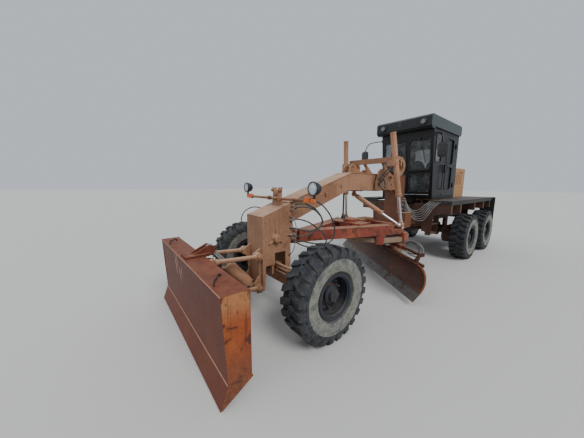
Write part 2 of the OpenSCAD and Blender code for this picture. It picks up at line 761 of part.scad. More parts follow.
drawbar_z1 = drawbar_z + drawbar_h;
pinion_r = 75;
pinion_x = circle_c[0] + circle_bore - side_gap - pinion_r;
module guide_shoe(a) {
    translate(circle_c) rotate([0, 0, a - 5]) rotate_extrude(angle = 10, convexity = 4)
        polygon([[700, circle_z1 + pin_gap], [circle_r + 6, circle_z1 + pin_gap],
            [circle_r + 6, circle_z0 - side_gap], [circle_r - 32, circle_z0 - side_gap],
            [circle_r - 32, circle_z0 - side_gap - 20],
            [circle_r + 34, circle_z0 - side_gap - 20], [circle_r + 34, drawbar_z + 10],
            [700, drawbar_z + 10]]);
}

module drawbar() {
    color(red) {
        difference() {
            translate([0, 0, drawbar_z]) linear_extrude(drawbar_h) difference() {
                polygon([[2590, 70], [2590, -70], [640, -755], [400, -755], [400, -590], [485, -570],
                    [485, 570], [400, 590], [400, 755], [640, 755]]);
                polygon([[2150, 0], [620, -530], [620, 530]]);
            }
            // Steps for the cylinder seats
            both_sides() box([390, 560, drawbar_z + 35], [565, 800, drawbar_z1 + eps]);
            both_sides() box([500, 560, drawbar_z + 90], [770, 800, drawbar_z1 + eps]);
        }
        // Nose plates round the ball's pin
        difference() {
            union() {
                for (z = [85, -110]) translate([0, 0, ball[2] + z]) linear_extrude(25)
                    polygon([[2550, 70], [2550, -70], [ball[0] + 10, -50], [ball[0] + 45, -25],
                        [ball[0] + 45, 25], [ball[0] + 10, 50]]);
                box([2530, -70, ball[2] - 110], [2590, 70, ball[2] + 110]);
            }
            translate([ball[0], 0, ball[2] - 150]) cylinder(h = 300, r = 28 + pin_gap);
        }
        for (a = [47, 90, -47, -90]) guide_shoe(a);
        // Seats of the lift cylinders' balls
        both_sides() translate([lift_eye[0], lift_eye[1], drawbar_z + 30])
            cylinder(h = lift_eye[2] - lift_ball_r - lift_play - drawbar_z - 30, r = 36);
        // Upright seat of the swing cylinder's ball
        box([swing_eye[0] - swing_ball_r - 22, swing_eye[1] - 30, drawbar_z + 20],
            [swing_eye[0] - swing_ball_r - 2.5, swing_eye[1] + 30, swing_eye[2] + 25]);
        // Drive of the circle
        translate([pinion_x, 0, circle_z0 + side_gap]) linear_extrude(drawbar_z1 - circle_z0)
            polygon([for (i = [0:13]) let (a = i * 360 / 14)
                (pinion_r - (i % 2) * tooth_depth / 2) * [cos(a), sin(a)]]);
        box([480, -120, drawbar_z1 - 60], [1360, 120, drawbar_z1 + 20]);
        box([1000, -350, drawbar_z1 - 5], [1360, 350, drawbar_z1 + 25]);
        translate([1200, 0, drawbar_z1]) cylinder(h = 75, r = 130);
    }
}

// Circle with its drop arms, at rest turned with the moldboard
arm_y0 = 380;
arm_y1 = 420;
tilt_pivot = [-330, 330];
tooth_depth = 20;
drop_arm = [[-615, 800], [-545, 800], [-545, 640], [-380, 560], [-275, 350], [-290, 285], [-350, 275],
    [-420, 330], [-560, 520], [-615, 600]];

module blade_frame() {
    translate(circle_c) rotate([0, 0, -blade_angle]) children();
}

module circle_ring() {
    // Corners of one tooth, as [share of its pitch, depth]
    tooth = [[0, 0], [0.3, 0], [0.45, tooth_depth], [0.85, tooth_depth]];
    color([0.6, 0.5, 0.42]) {
        translate([circle_c[0], 0, circle_z0]) difference() {
            cylinder(h = circle_t, r = circle_r, $fn = 96);
            translate([0, 0, -eps]) linear_extrude(circle_t + 2 * eps)
                polygon([for (i = [0:tooth_count - 1]) for (t = tooth)
                    let (a = 360 / tooth_count * (i + t[0])) (circle_bore + t[1]) * [cos(a), sin(a)]]);
        }
        blade_frame() both_sides() difference() {
            plate_y(drop_arm, arm_y0, arm_y1);
            pin_y(tilt_pivot[0], tilt_pivot[1], 22 + pin_gap, arm_y0 - 10, arm_y1 + 10);
        }
    }
}

// Tilt frame: plates on the pivot, shoes on the rails and the side shift barrel
shift_c = [-330, 715];
shift_r = 50;
rail_x = [-260, -215];
rails_z = [[300, 350], [575, 625]];
module tilt_frame() {
    y0 = arm_y1 + side_gap;
    y1 = y0 + 30;
    color(red) blade_frame() difference() {
        union() {
            both_sides() {
                plate_y([[-385, 300], [-350, 275], [-290, 275], [-268, 290], [-268, 640], [-285, 700],
                    [-290, 730], [-370, 730], [-380, 600], [-385, 380]], y0, y1);
                pin_y(tilt_pivot[0], tilt_pivot[1], 22, arm_y0 - 5, y0 + eps);
                // Shoes behind, over and under each rail
                for (z = rails_z) {
                    box([-290, y0, z[0] - 25], [-264, y1 + 60, z[1] + 25]);
                    box([-270, y0, z[1] + 4], [-222, y1 + 60, z[1] + 25]);
                    box([-270, y0, z[0] - 25], [-222, y1 + 60, z[0] - 4]);
                }
            }
            pin_y(shift_c[0], shift_c[1], shift_r, -750, 800);
        }
        pin_y(shift_c[0], shift_c[1], 26 + pin_gap, -735, 900);
    }
}

// Moldboard: curved plate, knife, ribs, rails and the side shift rod
mold_top = [-43, 680];
mold_foot = [-110, 215];
mold_mid = (mold_top + mold_foot) / 2;
mold_chord = mold_top - mold_foot;
mold_c = mold_mid + [mold_chord[1], -mold_chord[0]] / norm(mold_chord)
    * sqrt(pow(mold_r, 2) - pow(norm(mold_chord) / 2, 2));
function mold_a(p) = atan2(p[1] - mold_c[1], p[0] - mold_c[0]);
a_top = mold_a(mold_top);
a_foot = mold_a(mold_foot) + 360;
function mold_arc(r, n = 12) = [for (i = [0:n]) let (a = a_top + (a_foot - a_top) * i / n)
    mold_c + r * [cos(a), sin(a)]];
function reversed(v) = [for (i = [len(v) - 1:-1:0]) v[i]];

// Place of the moldboard's middle along its rails
mold_shift = -60;
module moldboard() {
    half = mold_l / 2;
    color(rust) blade_frame() {
        translate([0, mold_shift, 0]) {
            plate_y(concat(mold_arc(mold_r), reversed(mold_arc(mold_r + mold_t))), -half, half);
            plate_y([[-133, 255], [7, 83], [-8, 74], [-150, 240]], -half, half);
            // Ribs between the plate and the rails
            for (y = [-1500, -900, -300, 300, 900, 1500])
                plate_y(concat([[rail_x[1] - eps, rails_z[0][0]], [rail_x[1] - eps, rails_z[1][1]]],
                    [for (p = mold_arc(mold_r + mold_t / 2))
                        if (p[1] > rails_z[0][0] && p[1] < rails_z[1][1]) p]),
                    y - 8, y + 8);
            for (z = rails_z) box([rail_x[0], -half + 150, z[0]], [rail_x[1], half - 150, z[1]]);
        }
        // Bracket and rod of the side shift
        plate_y([[-370, 700], [-370, 760], [-290, 760], [-215, 640], [-215, 580], [-262, 580], [-300, 690]],
            1330, 1370);
        pin_y(shift_c[0], shift_c[1], 26, 50, 1340);
    }
}

// Lift cylinders
lift_l = norm(trunnion - lift_eye);
lift_dir = (lift_eye - trunnion) / lift_l;
lift_top = 560;
lift_gland = 640;
module lift_barrel(side) {
    t = flip(trunnion, side);
    d = flip(lift_dir, side);
    turn = trunnion_dir(side);
    color(steel) {
        difference() {
            bar(t - d * lift_top, t + d * lift_gland, lift_r);
            bar(t - d * (lift_top - 30), t + d * (lift_gland + 10), lift_rod_r + pin_gap);
        }
        for (s = [-1, 1]) bar(t + s * turn * (lift_r - 8), t + s * turn * 100, 20);
    }
}

module lift_rod(side) {
    t = flip(trunnion, side);
    d = flip(lift_dir, side);
    e = flip(lift_eye, side);
    color(chrome) {
        bar(t + d * 60, e, lift_rod_r);
        translate(e) sphere(r = lift_ball_r);
    }
}

// Swing cylinder
swing_l = norm(swing_pivot - swing_eye);
swing_dir = (swing_eye - swing_pivot) / swing_l;
swing_gland = 690;
module swing_yoke() {
    color(rust) translate(swing_pivot) sphere(r = swing_head_r);
}

module swing_barrel() {
    color(steel) {
        difference() {
            union() {
                bar(swing_pivot + swing_dir * 75, swing_pivot + swing_dir * swing_gland, swing_r);
                bar(swing_pivot + swing_dir * 36, swing_pivot + swing_dir * 80, swing_r - 12);
            }
            translate(swing_pivot) sphere(r = swing_head_r + pin_gap);
            bar(swing_pivot + swing_dir * 85, swing_pivot + swing_dir * (swing_gland + 10), swing_r - 12);
        }
        difference() {
            bar(swing_pivot + swing_dir * (swing_gland - 14), swing_pivot + swing_dir * swing_gland,
                swing_r - 5);
            bar(swing_pivot + swing_dir * (swing_gland - 20), swing_pivot + swing_dir * (swing_gland + 10),
                swing_rod_r + pin_gap);
        }
    }
}

module swing_piston() {
    mid = swing_pivot + swing_dir * 400;
    color(rust) difference() {
        bar(mid, mid + swing_dir * 40, swing_r - 12 - pin_gap);
        bar(mid - swing_dir * 10, mid + swing_dir * 60, swing_rod_r + pin_gap);
    }
}

module swing_rod() {
    color(chrome) {
        bar(swing_pivot + swing_dir * 397, swing_eye, swing_rod_r);
        translate(swing_eye) sphere(r = swing_ball_r);
    }
}

// Dozer blade
dozer_x = 4380;
dozer_tip = [dozer_x + 35, 20];
dozer_front = [[dozer_x, dozer_top], [dozer_x - 24, 700], [dozer_x - 35, 420], [dozer_x - 37, 221],
    dozer_tip];
dozer_back_x = dozer_x - dozer_depth;
module dozer_blade() {
    half = dozer_w / 2;
    back = [for (p = dozer_front) [p[0] - dozer_t, p[1]]];
    color(rust) {
        plate_y(concat(dozer_front, reversed(back)), -half, half);
        box([dozer_back_x, -half, dozer_top - dozer_t], [dozer_x - 2, half, dozer_top]);
        both_sides() plate_y([[dozer_x, dozer_top], [dozer_x - 37, 221], dozer_tip, dozer_tip - [20, 0],
            [dozer_back_x - 25, 190], [dozer_back_x - 10, 221], [dozer_back_x - 10, dozer_top]],
            half - dozer_t, half);
        box([4110, -110, dozer_top - eps], [dozer_x - 30, 110, dozer_top + 22]);
        // Ribs and a stiffener on the back
        both_sides() plate_y([[4360, 1000], [4330, 240], [4200, 240], [4150, 420], [4060, 430], [4030, 470],
            [4030, 530], [4100, 570], [4130, 700], [4100, 880], [4040, 910], [4040, 980], [4120, 1000]],
            140, 165);
        both_sides() plate_y([[4360, 1000], [4330, 240], [4230, 240], [4150, 1000]], 680, 700);
        plate_y([[4340, 240], [4340, 300], [4220, 300], [4220, 240]], -half + 10, half - 10);
        both_sides() {
            pin_y(link_front[0], link_front[2], dozer_pin_r, 150, link_front[1] + 40);
            pin_y(arm_front[0], arm_front[2], dozer_pin_r, 150, arm_front[1] + 40);
        }
        // Lugs and pin of the dozer cylinder
        pin_y(dozer_cyl_top[0], dozer_cyl_top[2], dozer_pin_r, -60, 60);
        both_sides() plate_y([[4330, 1000], [4060, 1130], [3990, 1110], [3980, 1030], [4060, 990],
            [4135, 985]], 35 + side_gap, 65);
    }
}

module link_eye(p, r) {
    difference() {
        pin_y(p[0], p[2], r, 187, 247);
        pin_y(p[0], p[2], dozer_pin_r + pin_gap, 180, 260);
    }
}

module dozer_links() {
    color(steel) both_sides() {
        link_eye(link_rear, 58);
        link_eye(link_front, 45);
        d = unit(link_front - link_rear);
        bar(link_rear + d * 40, link_front - d * 40, 29);
    }
}

module dozer_arms() {
    d = unit(arm_front - arm_rear);
    color(rust) {
        both_sides() {
            link_eye(arm_rear, 50);
            link_eye(arm_front, 45);
            bar(arm_rear + d * 38, arm_front - d * 38, 29.5);
        }
        m = (arm_rear + arm_front) / 2;
        pin_y(m[0], m[2], 30, -200, 200);
    }
}

dozer_cyl_dir = unit(dozer_cyl_top - dozer_cyl_low);
dozer_gland = 560;
// Room in the rod's eye, which drifts from its pin as the blade lifts
dozer_play = 9;
module dozer_barrel() {
    p = dozer_cyl_low;
    color(rust) {
        difference() {
            union() {
                bar(p + dozer_cyl_dir * 105, p + dozer_cyl_dir * dozer_gland, dozer_cyl_r);
                pin_y(p[0], p[2], 45, -35, 35);
                bar(p, p + dozer_cyl_dir * 110, 34);
            }
            pin_y(p[0], p[2], dozer_pin_r + pin_gap, -50, 50);
            bar(p + dozer_cyl_dir * 130, p + dozer_cyl_dir * (dozer_gland + 10), dozer_rod_r + pin_gap);
        }
    }
}

module dozer_rod() {
    q = dozer_cyl_top;
    color(chrome) {
        bar(dozer_cyl_low + dozer_cyl_dir * 200, q - dozer_cyl_dir * 45, dozer_rod_r);
        difference() {
            pin_y(q[0], q[2], 52, -35, 35);
            pin_y(q[0], q[2], dozer_pin_r + dozer_play, -40, 40);
        }
    }
}

main_frame();
rear_frame();
saddle();
deck();
rear_axle();
gearbox();
tandem_cases();
cab_body();
cab_roof();
cab_glass();
cab_interior();
door(1);  // door_left
door(-1);  // door_right
engine_hood();
engine_block();
radiator_grille();
lamps();
mirrors();
front_axle();
lean_bracket(1);  // lean_bracket_left
lean_bracket(-1);  // lean_bracket_right
knuckle(1);  // knuckle_left
knuckle(-1);  // knuckle_right
lean_bar();
tie_rod_ball();
tie_rod();
tyre([front_x, front_track / 2, wheel_z]);  // tyre_front_left
tyre([front_x, -front_track / 2, wheel_z]);  // tyre_front_right
tyre([mid_wheel_x, rear_track / 2, wheel_z]);  // tyre_mid_left
tyre([mid_wheel_x, -rear_track / 2, wheel_z]);  // tyre_mid_right
tyre([last_wheel_x, rear_track / 2, wheel_z]);  // tyre_rear_left
tyre([last_wheel_x, -rear_track / 2, wheel_z]);  // tyre_rear_right
rim([front_x, front_track / 2, wheel_z], 1);  // rim_front_left
rim([front_x, -front_track / 2, wheel_z], -1);  // rim_front_right
rim([mid_wheel_x, rear_track / 2, wheel_z], 1);  // rim_mid_left
rim([mid_wheel_x, -rear_track / 2, wheel_z], -1);  // rim_mid_right
rim([last_wheel_x, rear_track / 2, wheel_z], 1);  // rim_rear_left
rim([last_wheel_x, -rear_track / 2, wheel_z], -1);  // rim_rear_right
drawbar_ball();
drawbar();
circle_ring();  // circle
tilt_frame();
moldboard();
lift_barrel(1);  // lift_barrel_left
lift_barrel(-1);  // lift_barrel_right
lift_rod(1);  // lift_rod_left
lift_rod(-1);  // lift_rod_right
swing_yoke();
swing_barrel();
swing_piston();
swing_rod();
dozer_blade();
dozer_links();
dozer_arms();
dozer_barrel();
dozer_rod();
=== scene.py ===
import json
import random
from math import atan2, copysign, cos, hypot, pi, radians, sin, sqrt

import bpy
from mathutils import Matrix, Vector


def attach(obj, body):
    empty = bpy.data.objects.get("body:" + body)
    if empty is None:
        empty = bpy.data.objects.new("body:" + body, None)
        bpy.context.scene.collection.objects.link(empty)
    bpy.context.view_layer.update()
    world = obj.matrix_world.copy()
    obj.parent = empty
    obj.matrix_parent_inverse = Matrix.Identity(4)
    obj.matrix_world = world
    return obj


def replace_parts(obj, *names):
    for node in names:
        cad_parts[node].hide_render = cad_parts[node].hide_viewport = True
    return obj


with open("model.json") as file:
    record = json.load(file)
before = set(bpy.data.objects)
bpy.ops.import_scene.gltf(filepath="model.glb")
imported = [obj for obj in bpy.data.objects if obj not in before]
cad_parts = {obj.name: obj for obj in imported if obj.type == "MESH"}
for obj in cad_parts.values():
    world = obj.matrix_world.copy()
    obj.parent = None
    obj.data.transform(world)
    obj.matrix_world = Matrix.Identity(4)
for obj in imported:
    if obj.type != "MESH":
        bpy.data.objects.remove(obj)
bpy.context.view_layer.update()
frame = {"nodes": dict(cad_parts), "record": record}
scene = bpy.context.scene
rng = random.Random(7)

CHASSIS = "chassis"
SIDES = ((1, "left"), (-1, "right"))
X_AXIS, UP, DOWN = (1, 0, 0), (0, 0, 1), (0, 0, -1)


def srgb(r, g, b):
    """A colour as a picture shows it, 0 to 255, in linear values."""
    def lin(v):
        v /= 255
        return v / 12.92 if v <= 0.04045 else ((v + 0.055) / 1.055) ** 2.4
    return (lin(r), lin(g), lin(b), 1.0)


def turns(count, start=0.0):
    """Angles spaced evenly round a circle."""
    return [2 * pi * (i + start) / count for i in range(count)]


# Camera: the place, direction and lens solved from the photograph
CAM_POS = (4.977, 2.883, 1.867)
CAM_YAW, CAM_PITCH, CAM_ROLL = (radians(a) for a in (231.646, -8.274, 0.312))
FOCAL_PX, FRAME_PX, SENSOR_MM = 229.7, 584, 36


def make_camera():
    flat = cos(CAM_PITCH)
    ahead = Vector((cos(CAM_YAW) * flat, sin(CAM_YAW) * flat, sin(CAM_PITCH)))
    right = ahead.cross(Vector(UP)).normalized()
    up = right.cross(ahead)
    side = cos(CAM_ROLL) * right + sin(CAM_ROLL) * up
    top = cos(CAM_ROLL) * up - sin(CAM_ROLL) * right
    cam = bpy.data.cameras.new("camera")
    cam.sensor_width = SENSOR_MM
    cam.lens = FOCAL_PX * SENSOR_MM / FRAME_PX
    cam.clip_end = 400
    obj = bpy.data.objects.new("camera", cam)
    scene.collection.objects.link(obj)
    turn = Matrix((side, top, -ahead)).transposed().to_4x4()
    obj.matrix_world = Matrix.Translation(CAM_POS) @ turn
    scene.camera = obj


# Light and floor
SKY_STRENGTH, FLOOR_HALF = 0.85, 120
# Columns: name, energy, angle, turn in degrees
SUNS = (("sun", 2.2, 0.5, (42, 14, 160)), ("fill", 0.7, 1.2, (60, 0, 60)))


def make_stage():
    world = bpy.data.worlds.new("world")
    world.use_nodes = True
    back = world.node_tree.nodes["Background"]
    back.inputs[0].default_value = srgb(214, 222, 232)
    back.inputs[1].default_value = SKY_STRENGTH
    scene.world = world
    for name, energy, angle, turn in SUNS:
        sun = bpy.data.lights.new(name, "SUN")
        sun.energy = energy
        sun.angle = angle
        obj = bpy.data.objects.new(name, sun)
        obj.rotation_euler = [radians(a) for a in turn]
        scene.collection.objects.link(obj)
    mesh = bpy.data.meshes.new("floor")
    s = FLOOR_HALF
    mesh.from_pydata([(-s, -s, 0), (s, -s, 0), (s, s, 0), (-s, s, 0)], [], [(0, 1, 2, 3)])
    floor = bpy.data.objects.new("floor", mesh)
    scene.collection.objects.link(floor)
    mat = bpy.data.materials.new("floor")
    mat.use_nodes = True
    shader = mat.node_tree.nodes["Principled BSDF"]
    shader.inputs["Base Color"].default_value = srgb(196, 194, 190)
    shader.inputs["Roughness"].default_value = 0.9
    mesh.materials.append(mat)


# Materials
class Graph:
    """A material's nodes, built by short calls. Textures read the object's own coordinates, in metres."""

    def __init__(self, name):
        self.mat = bpy.data.materials.new(name)
        self.mat.use_nodes = True
        self.nodes = self.mat.node_tree.nodes
        self.links = self.mat.node_tree.links
        self.shader = self.nodes["Principled BSDF"]
        self.coord = self.nodes.new("ShaderNodeTexCoord")
        self.x, _, self.z = self.split("Object")
        _, self.ny, self.nz = self.split("Normal")

    def split(self, output):
        node = self.nodes.new("ShaderNodeSeparateXYZ")
        self.links.new(self.coord.outputs[output], node.inputs[0])
        return node.outputs

    def put(self, socket, value):
        if hasattr(value, "is_linked"):
            self.links.new(value, socket)
        else:
            socket.default_value = value

    def noise(self, scale, detail=6, rough=0.6, stretch=None, distortion=0.0):
        node = self.nodes.new("ShaderNodeTexNoise")
        for key, value in zip(("Scale", "Detail", "Roughness", "Distortion"), (scale, detail, rough, distortion)):
            node.inputs[key].default_value = value
        source = self.coord.outputs["Object"]
        if stretch:
            mapping = self.nodes.new("ShaderNodeMapping")
            mapping.inputs["Scale"].default_value = stretch
            self.links.new(source, mapping.inputs[0])
            source = mapping.outputs[0]
        self.links.new(source, node.inputs["Vector"])
        return node.outputs[0]

    def ramp(self, value, low, high, out=(0.0, 1.0)):
        node = self.nodes.new("ShaderNodeMapRange")
        node.interpolation_type = "SMOOTHSTEP"
        self.put(node.inputs[0], value)
        for socket, number in zip(node.inputs[1:5], (low, high) + out):
            socket.default_value = number
        return node.outputs[0]

    def calc(self, op, *values):
        node = self.nodes.new("ShaderNodeMath")
        node.operation = op
        for socket, value in zip(node.inputs, values):
            self.put(socket, value)
        return node.outputs[0]

    def times(self, a, b):
        return self.calc("MULTIPLY", a, b)

    def plus(self, a, b):
        return self.calc("ADD", a, b)

    def mix(self, factor, a, b, kind="MIX"):
        node = self.nodes.new("ShaderNodeMixRGB")
        node.blend_type = kind
        for socket, value in zip(node.inputs, (factor, a, b)):
            self.put(socket, value)
        return node.outputs[0]

    def over(self, factor, color, tone):
        """Lays a tone, as a picture shows it, over a colour."""
        return self.mix(factor, color, srgb(*tone))

    def surface(self, color, rough):
        self.put(self.shader.inputs["Base Color"], color)
        self.put(self.shader.inputs["Roughness"], rough)

    def bump(self, height, distance, strength=0.6):
        node = self.nodes.new("ShaderNodeBump")
        node.inputs["Strength"].default_value = strength
        node.inputs["Distance"].default_value = distance
        self.links.new(height, node.inputs["Height"])
        self.links.new(node.outputs[0], self.shader.inputs["Normal"])


def painted(name, base, alt, rust, rust_share, dust, dust_share, rough, speck, streak, *zones):
    """Old paint: two tones, runs, specks and patches of rust, and dust on what faces up.
    A zone is (axis, low, high, colour, share), where the paint goes over to another colour; some zones are painted
    shade."""
    g = Graph(name)
    broad, fine = g.noise(1.3, 4, 0.55), g.noise(34, 8, 0.7)
    color = g.over(g.ramp(broad, 0.38, 0.64), srgb(*base), alt)
    places = {"x": g.x, "z": g.z, "ny": g.calc("ABSOLUTE", g.ny)}
    for axis, low, high, tone, share in zones:
        color = g.over(g.times(g.ramp(places[axis], low, high), share), color, tone)
    grain = g.mix(g.ramp(fine, 0.3, 0.72), srgb(96, 90, 86), srgb(160, 155, 150))
    color = g.mix(0.5, color, grain, "OVERLAY")
    runs = g.ramp(g.noise(1, 5, 0.6, (26, 26, 1.6)), 0.52, 0.78, (0, streak))
    color = g.over(runs, color, rust)
    patch = g.ramp(g.noise(5.5, 12, 0.72, distortion=0.5), 0.66 - 0.22 * rust_share, 0.74 - 0.2 * rust_share)
    spots = g.ramp(g.noise(58, 6, 0.62), 0.63, 0.69)
    color = g.over(g.times(patch, min(1, rust_share * 1.6)), color, rust)
    color = g.over(g.times(spots, speck), color, [v * 0.7 for v in rust])
    settle = g.times(g.ramp(g.nz, 0.35, 0.95, (0, dust_share)), g.ramp(g.noise(7, 6, 0.6), 0.2, 0.6))
    color = g.over(settle, color, dust)
    low = g.times(g.ramp(g.z, 0.75, 0.1, (0, 0.45 * dust_share)), g.ramp(fine, 0.3, 0.6))
    color = g.over(low, color, [v * 0.8 for v in dust])
    dull = g.ramp(fine, 0.2, 0.8, (rough - 0.1, rough + 0.12))
    g.surface(color, g.plus(g.times(patch, 0.2 * rust_share), dull))
    g.bump(g.plus(g.times(fine, 0.4), g.times(g.plus(patch, spots), 0.35)), 0.0016)
    g.shader.inputs["Specular IOR Level"].default_value = 0.35
    return g.mat


def rubber(name, base, alt, dust, share, rough):
    g = Graph(name)
    fine, broad = g.noise(60, 8, 0.7), g.noise(6, 6, 0.6)
    color = g.over(g.ramp(broad, 0.35, 0.65), srgb(*base), alt)
    color = g.over(g.times(g.ramp(g.noise(14, 10, 0.7), 0.36, 0.62), share), color, dust)
    g.surface(color, g.ramp(fine, 0.2, 0.8, (rough - 0.1, rough + 0.1)))
    g.bump(g.plus(fine, g.times(broad, 0.6)), 0.0014)
    return g.mat


def plain(name, base, rough, metal, grime, share, scale=20):
    g = Graph(name)
    fine = g.noise(scale, 8, 0.65)
    g.surface(g.over(g.ramp(fine, 0.45, 0.72, (0, share)), srgb(*base), grime),
              g.ramp(fine, 0.2, 0.8, (rough - 0.08, rough + 0.15)))
    g.shader.inputs["Metallic"].default_value = metal
    g.bump(g.noise(scale * 6, 4), 0.0004, 0.3)
    return g.mat


def glass(name, tint, alpha, rough):
    g = Graph(name)
    dirt = g.noise(3.5, 8, 0.7)
    g.surface(g.over(g.ramp(dirt, 0.4, 0.75, (0.1, 0.5)), srgb(*tint), (170, 168, 160)),
              g.ramp(dirt, 0.3, 0.8, (rough, rough + 0.3)))
    g.put(g.shader.inputs["Alpha"], g.ramp(dirt, 0.35, 0.85, (alpha, min(1, alpha + 0.3))))
    return g.mat


RUST, DUST = (96, 52, 32), (186, 168, 148)
# Columns: name, base, second tone, rust, its share, dust, its share, roughness, specks, runs, zones
PAINTS = {
    # The tan's zone turns the main frame brown from x = -0.28 m back, round the column under the cab: painted shade
    # under the cab, with dirt.
    "tan": ("old_tan_paint", (154, 110, 82), (180, 136, 105), RUST, 0.32, (200, 172, 146), 0.5, 0.6, 0.85, 0.45,
            ("x", -0.28, -0.36, (124, 78, 58), 0.85)),
    "tan_cylinder": ("tan_cylinder_paint", (178, 130, 98), (196, 150, 118), RUST, 0.35, DUST, 0.5, 0.6, 0.8, 0.5),
    # The hood's zone turns the faces that look sideways a deeper orange tan: painted shade on the hood's sides.
    "rear_tan": ("hood_paint", (206, 168, 118), (186, 140, 92), (120, 66, 34), 0.4, DUST, 0.5, 0.6, 0.5, 0.5,
                 ("ny", 0.6, 0.9, (186, 138, 92), 0.75)),
    "under": ("underframe_paint", (104, 74, 58), (78, 58, 50), RUST, 0.6, (150, 132, 114), 0.5, 0.6, 0.5, 0.3),
    "axle": ("axle_paint", (168, 118, 84), (140, 92, 64), RUST, 0.6, (176, 154, 130), 0.5, 0.6, 0.5, 0.3),
    "red": ("faded_red_paint", (150, 70, 56), (178, 96, 66), (92, 54, 40), 0.75, (176, 140, 112), 0.6, 0.6, 0.7, 0.5),
    "ring": ("circle_paint", (166, 142, 118), (142, 112, 90), RUST, 0.5, (190, 174, 154), 0.5, 0.6, 0.5, 0.3),
    "blade": ("moldboard_steel", (70, 38, 28), (92, 50, 34), (170, 92, 44), 0.4, (140, 112, 88), 0.5, 0.5, 0.5, 0.25),
    "dozer": ("dozer_steel", (100, 45, 28), (118, 58, 36), (150, 90, 56), 0.25, (138, 82, 56), 0.5, 0.6, 0.35, 0.4),
    "dozer_end": ("dozer_end_rust", (158, 74, 32), (184, 104, 50), (72, 34, 22), 0.6, (190, 140, 98), 0.5, 0.6, 0.6,
                  0.85, ("z", 0.72, 0.95, (196, 144, 96), 0.6), ("z", 0.62, 0.3, (118, 50, 30), 0.8)),
    "cab": ("cab_paint", (9, 10, 13), (15, 17, 22), (56, 44, 38), 0.1, (66, 68, 70), 0.3, 0.4, 0.2, 0.1),
    "roof": ("roof_paint", (18, 21, 26), (30, 34, 39), (60, 52, 46), 0.1, (112, 124, 126), 0.7, 0.45, 0.2, 0.1,
             ("ny", 0.6, 0.9, (74, 86, 90), 0.8)),
    "deck": ("deck_paint", (44, 44, 46), (62, 58, 56), (84, 60, 48), 0.3, (112, 104, 96), 0.6, 0.6, 0.5, 0.3),
    "rim": ("rim_paint", (42, 48, 58), (56, 62, 70), (96, 68, 52), 0.35, (116, 108, 98), 0.3, 0.6, 0.5, 0.3),
    "hub": ("hub_paint", (110, 76, 60), (84, 58, 48), (140, 100, 70), 0.5, (150, 130, 108), 0.5, 0.6, 0.5, 0.3),
}
# Columns: name, base, second tone, dust, its share, roughness
RUBBERS = {
    "tread": ("tyre_tread", (24, 27, 34), (34, 38, 46), (88, 86, 80), 0.4, 0.8),
    "side": ("tyre_side", (96, 98, 90), (74, 78, 78), (134, 132, 120), 0.8, 0.8),
    "bead": ("tyre_bead", (44, 46, 50), (58, 58, 58), (110, 104, 92), 0.5, 0.8),
    "hose": ("hose_rubber", (26, 26, 28), (38, 38, 40), (110, 104, 96), 0.45, 0.6),
    "grey_hose": ("grey_hose", (150, 150, 150), (120, 120, 122), (90, 84, 78), 0.5, 0.6),
    "seat": ("seat_cover", (30, 31, 34), (44, 45, 48), (90, 86, 80), 0.3, 0.7),
}
# Columns: name, base, roughness, metal, grime, its share, and the grime's scale where it isn't the usual one
PLAINS = {
    "chrome": ("polished_rod", (206, 206, 208), 0.2, 1.0, (140, 124, 108), 0.4),
    "steel": ("bare_steel", (120, 112, 106), 0.45, 0.8, (96, 62, 42), 0.7),
    "black": ("black_plastic", (24, 25, 28), 0.45, 0.0, (88, 84, 78), 0.35),
    "amber": ("amber_lens", (214, 104, 30), 0.25, 0.0, (130, 70, 30), 0.4),
    "lens": ("lamp_lens", (190, 197, 203), 0.08, 0.35, (112, 112, 108), 0.6),
    "lens_grey": ("work_lamp_lens", (104, 108, 106), 0.2, 0.0, (110, 106, 98), 0.5),
    "red_lens": ("red_lens", (150, 26, 20), 0.25, 0.0, (80, 40, 32), 0.4),
    "mirror": ("mirror_face", (170, 176, 182), 0.12, 1.0, (120, 116, 110), 0.3),
    "steel_light": ("light_rail", (168, 170, 170), 0.4, 0.5, (110, 100, 90), 0.4),
    "plate": ("blank_plate_paint", (206, 206, 200), 0.4, 0.0, (120, 108, 92), 0.5),
    "hook": ("hook_steel", (54, 48, 46), 0.5, 0.6, (110, 66, 44), 0.7),
    "knife": ("knife_steel", (104, 102, 100), 0.45, 0.5, (92, 62, 46), 0.8, 9),
    "scratch": ("scraped_edge", (176, 132, 104), 0.55, 0.1, (112, 62, 46), 0.7, 12),
    "rust_edge": ("rusty_edge", (172, 88, 44), 0.7, 0.0, (110, 56, 34), 0.7, 14),
}
M = {"glass": glass("window_glass", (66, 76, 82), 0.34, 0.08)}
for kind, rows in ((painted, PAINTS), (rubber, RUBBERS), (plain, PLAINS)):
    M.update({key: kind(*row) for key, row in rows.items()})

# The looks of the nodes, by the stems of their names
LOOK_NODES = {
    "tan": "main_frame saddle lean_bar dozer_links", "rear_tan": "engine_hood radiator_grille",
    "tan_cylinder": "lift_barrel swing_barrel dozer_barrel", "deck": "deck",
    "under": "rear_frame rear_axle gearbox tandem_cases engine_block",
    "axle": "front_axle tie_rod drawbar_ball swing_yoke dozer_arms lean_bracket knuckle",
    "red": "drawbar tilt_frame", "ring": "circle", "blade": "moldboard", "dozer": "dozer_blade",
    "cab": "cab_body door", "roof": "cab_roof", "glass": "cab_glass", "seat": "cab_interior",
    "black": "lamps mirrors", "chrome": "lift_rod swing_rod dozer_rod", "steel": "swing_piston",
    "tread": "tyre", "rim": "rim",
}
NODE_LOOK = {stem: look for look, stems in LOOK_NODES.items() for stem in stems.split()}
for node, obj in frame["nodes"].items():
    stem = node
    while stem not in NODE_LOOK:
        stem = stem.rsplit("_", 1)[0]
    for place in obj.material_slots:
        place.material = M[NODE_LOOK[stem]]


# Mesh building
def soft(v, share):
    return copysign(abs(v) ** share, v)


def circle(center, side, ahead, radius, sides):
    """Points round center, across the way ahead."""
    up = ahead.cross(side)
    return [Vector(center) + radius * (cos(t) * side + sin(t) * up) for t in turns(sides)]


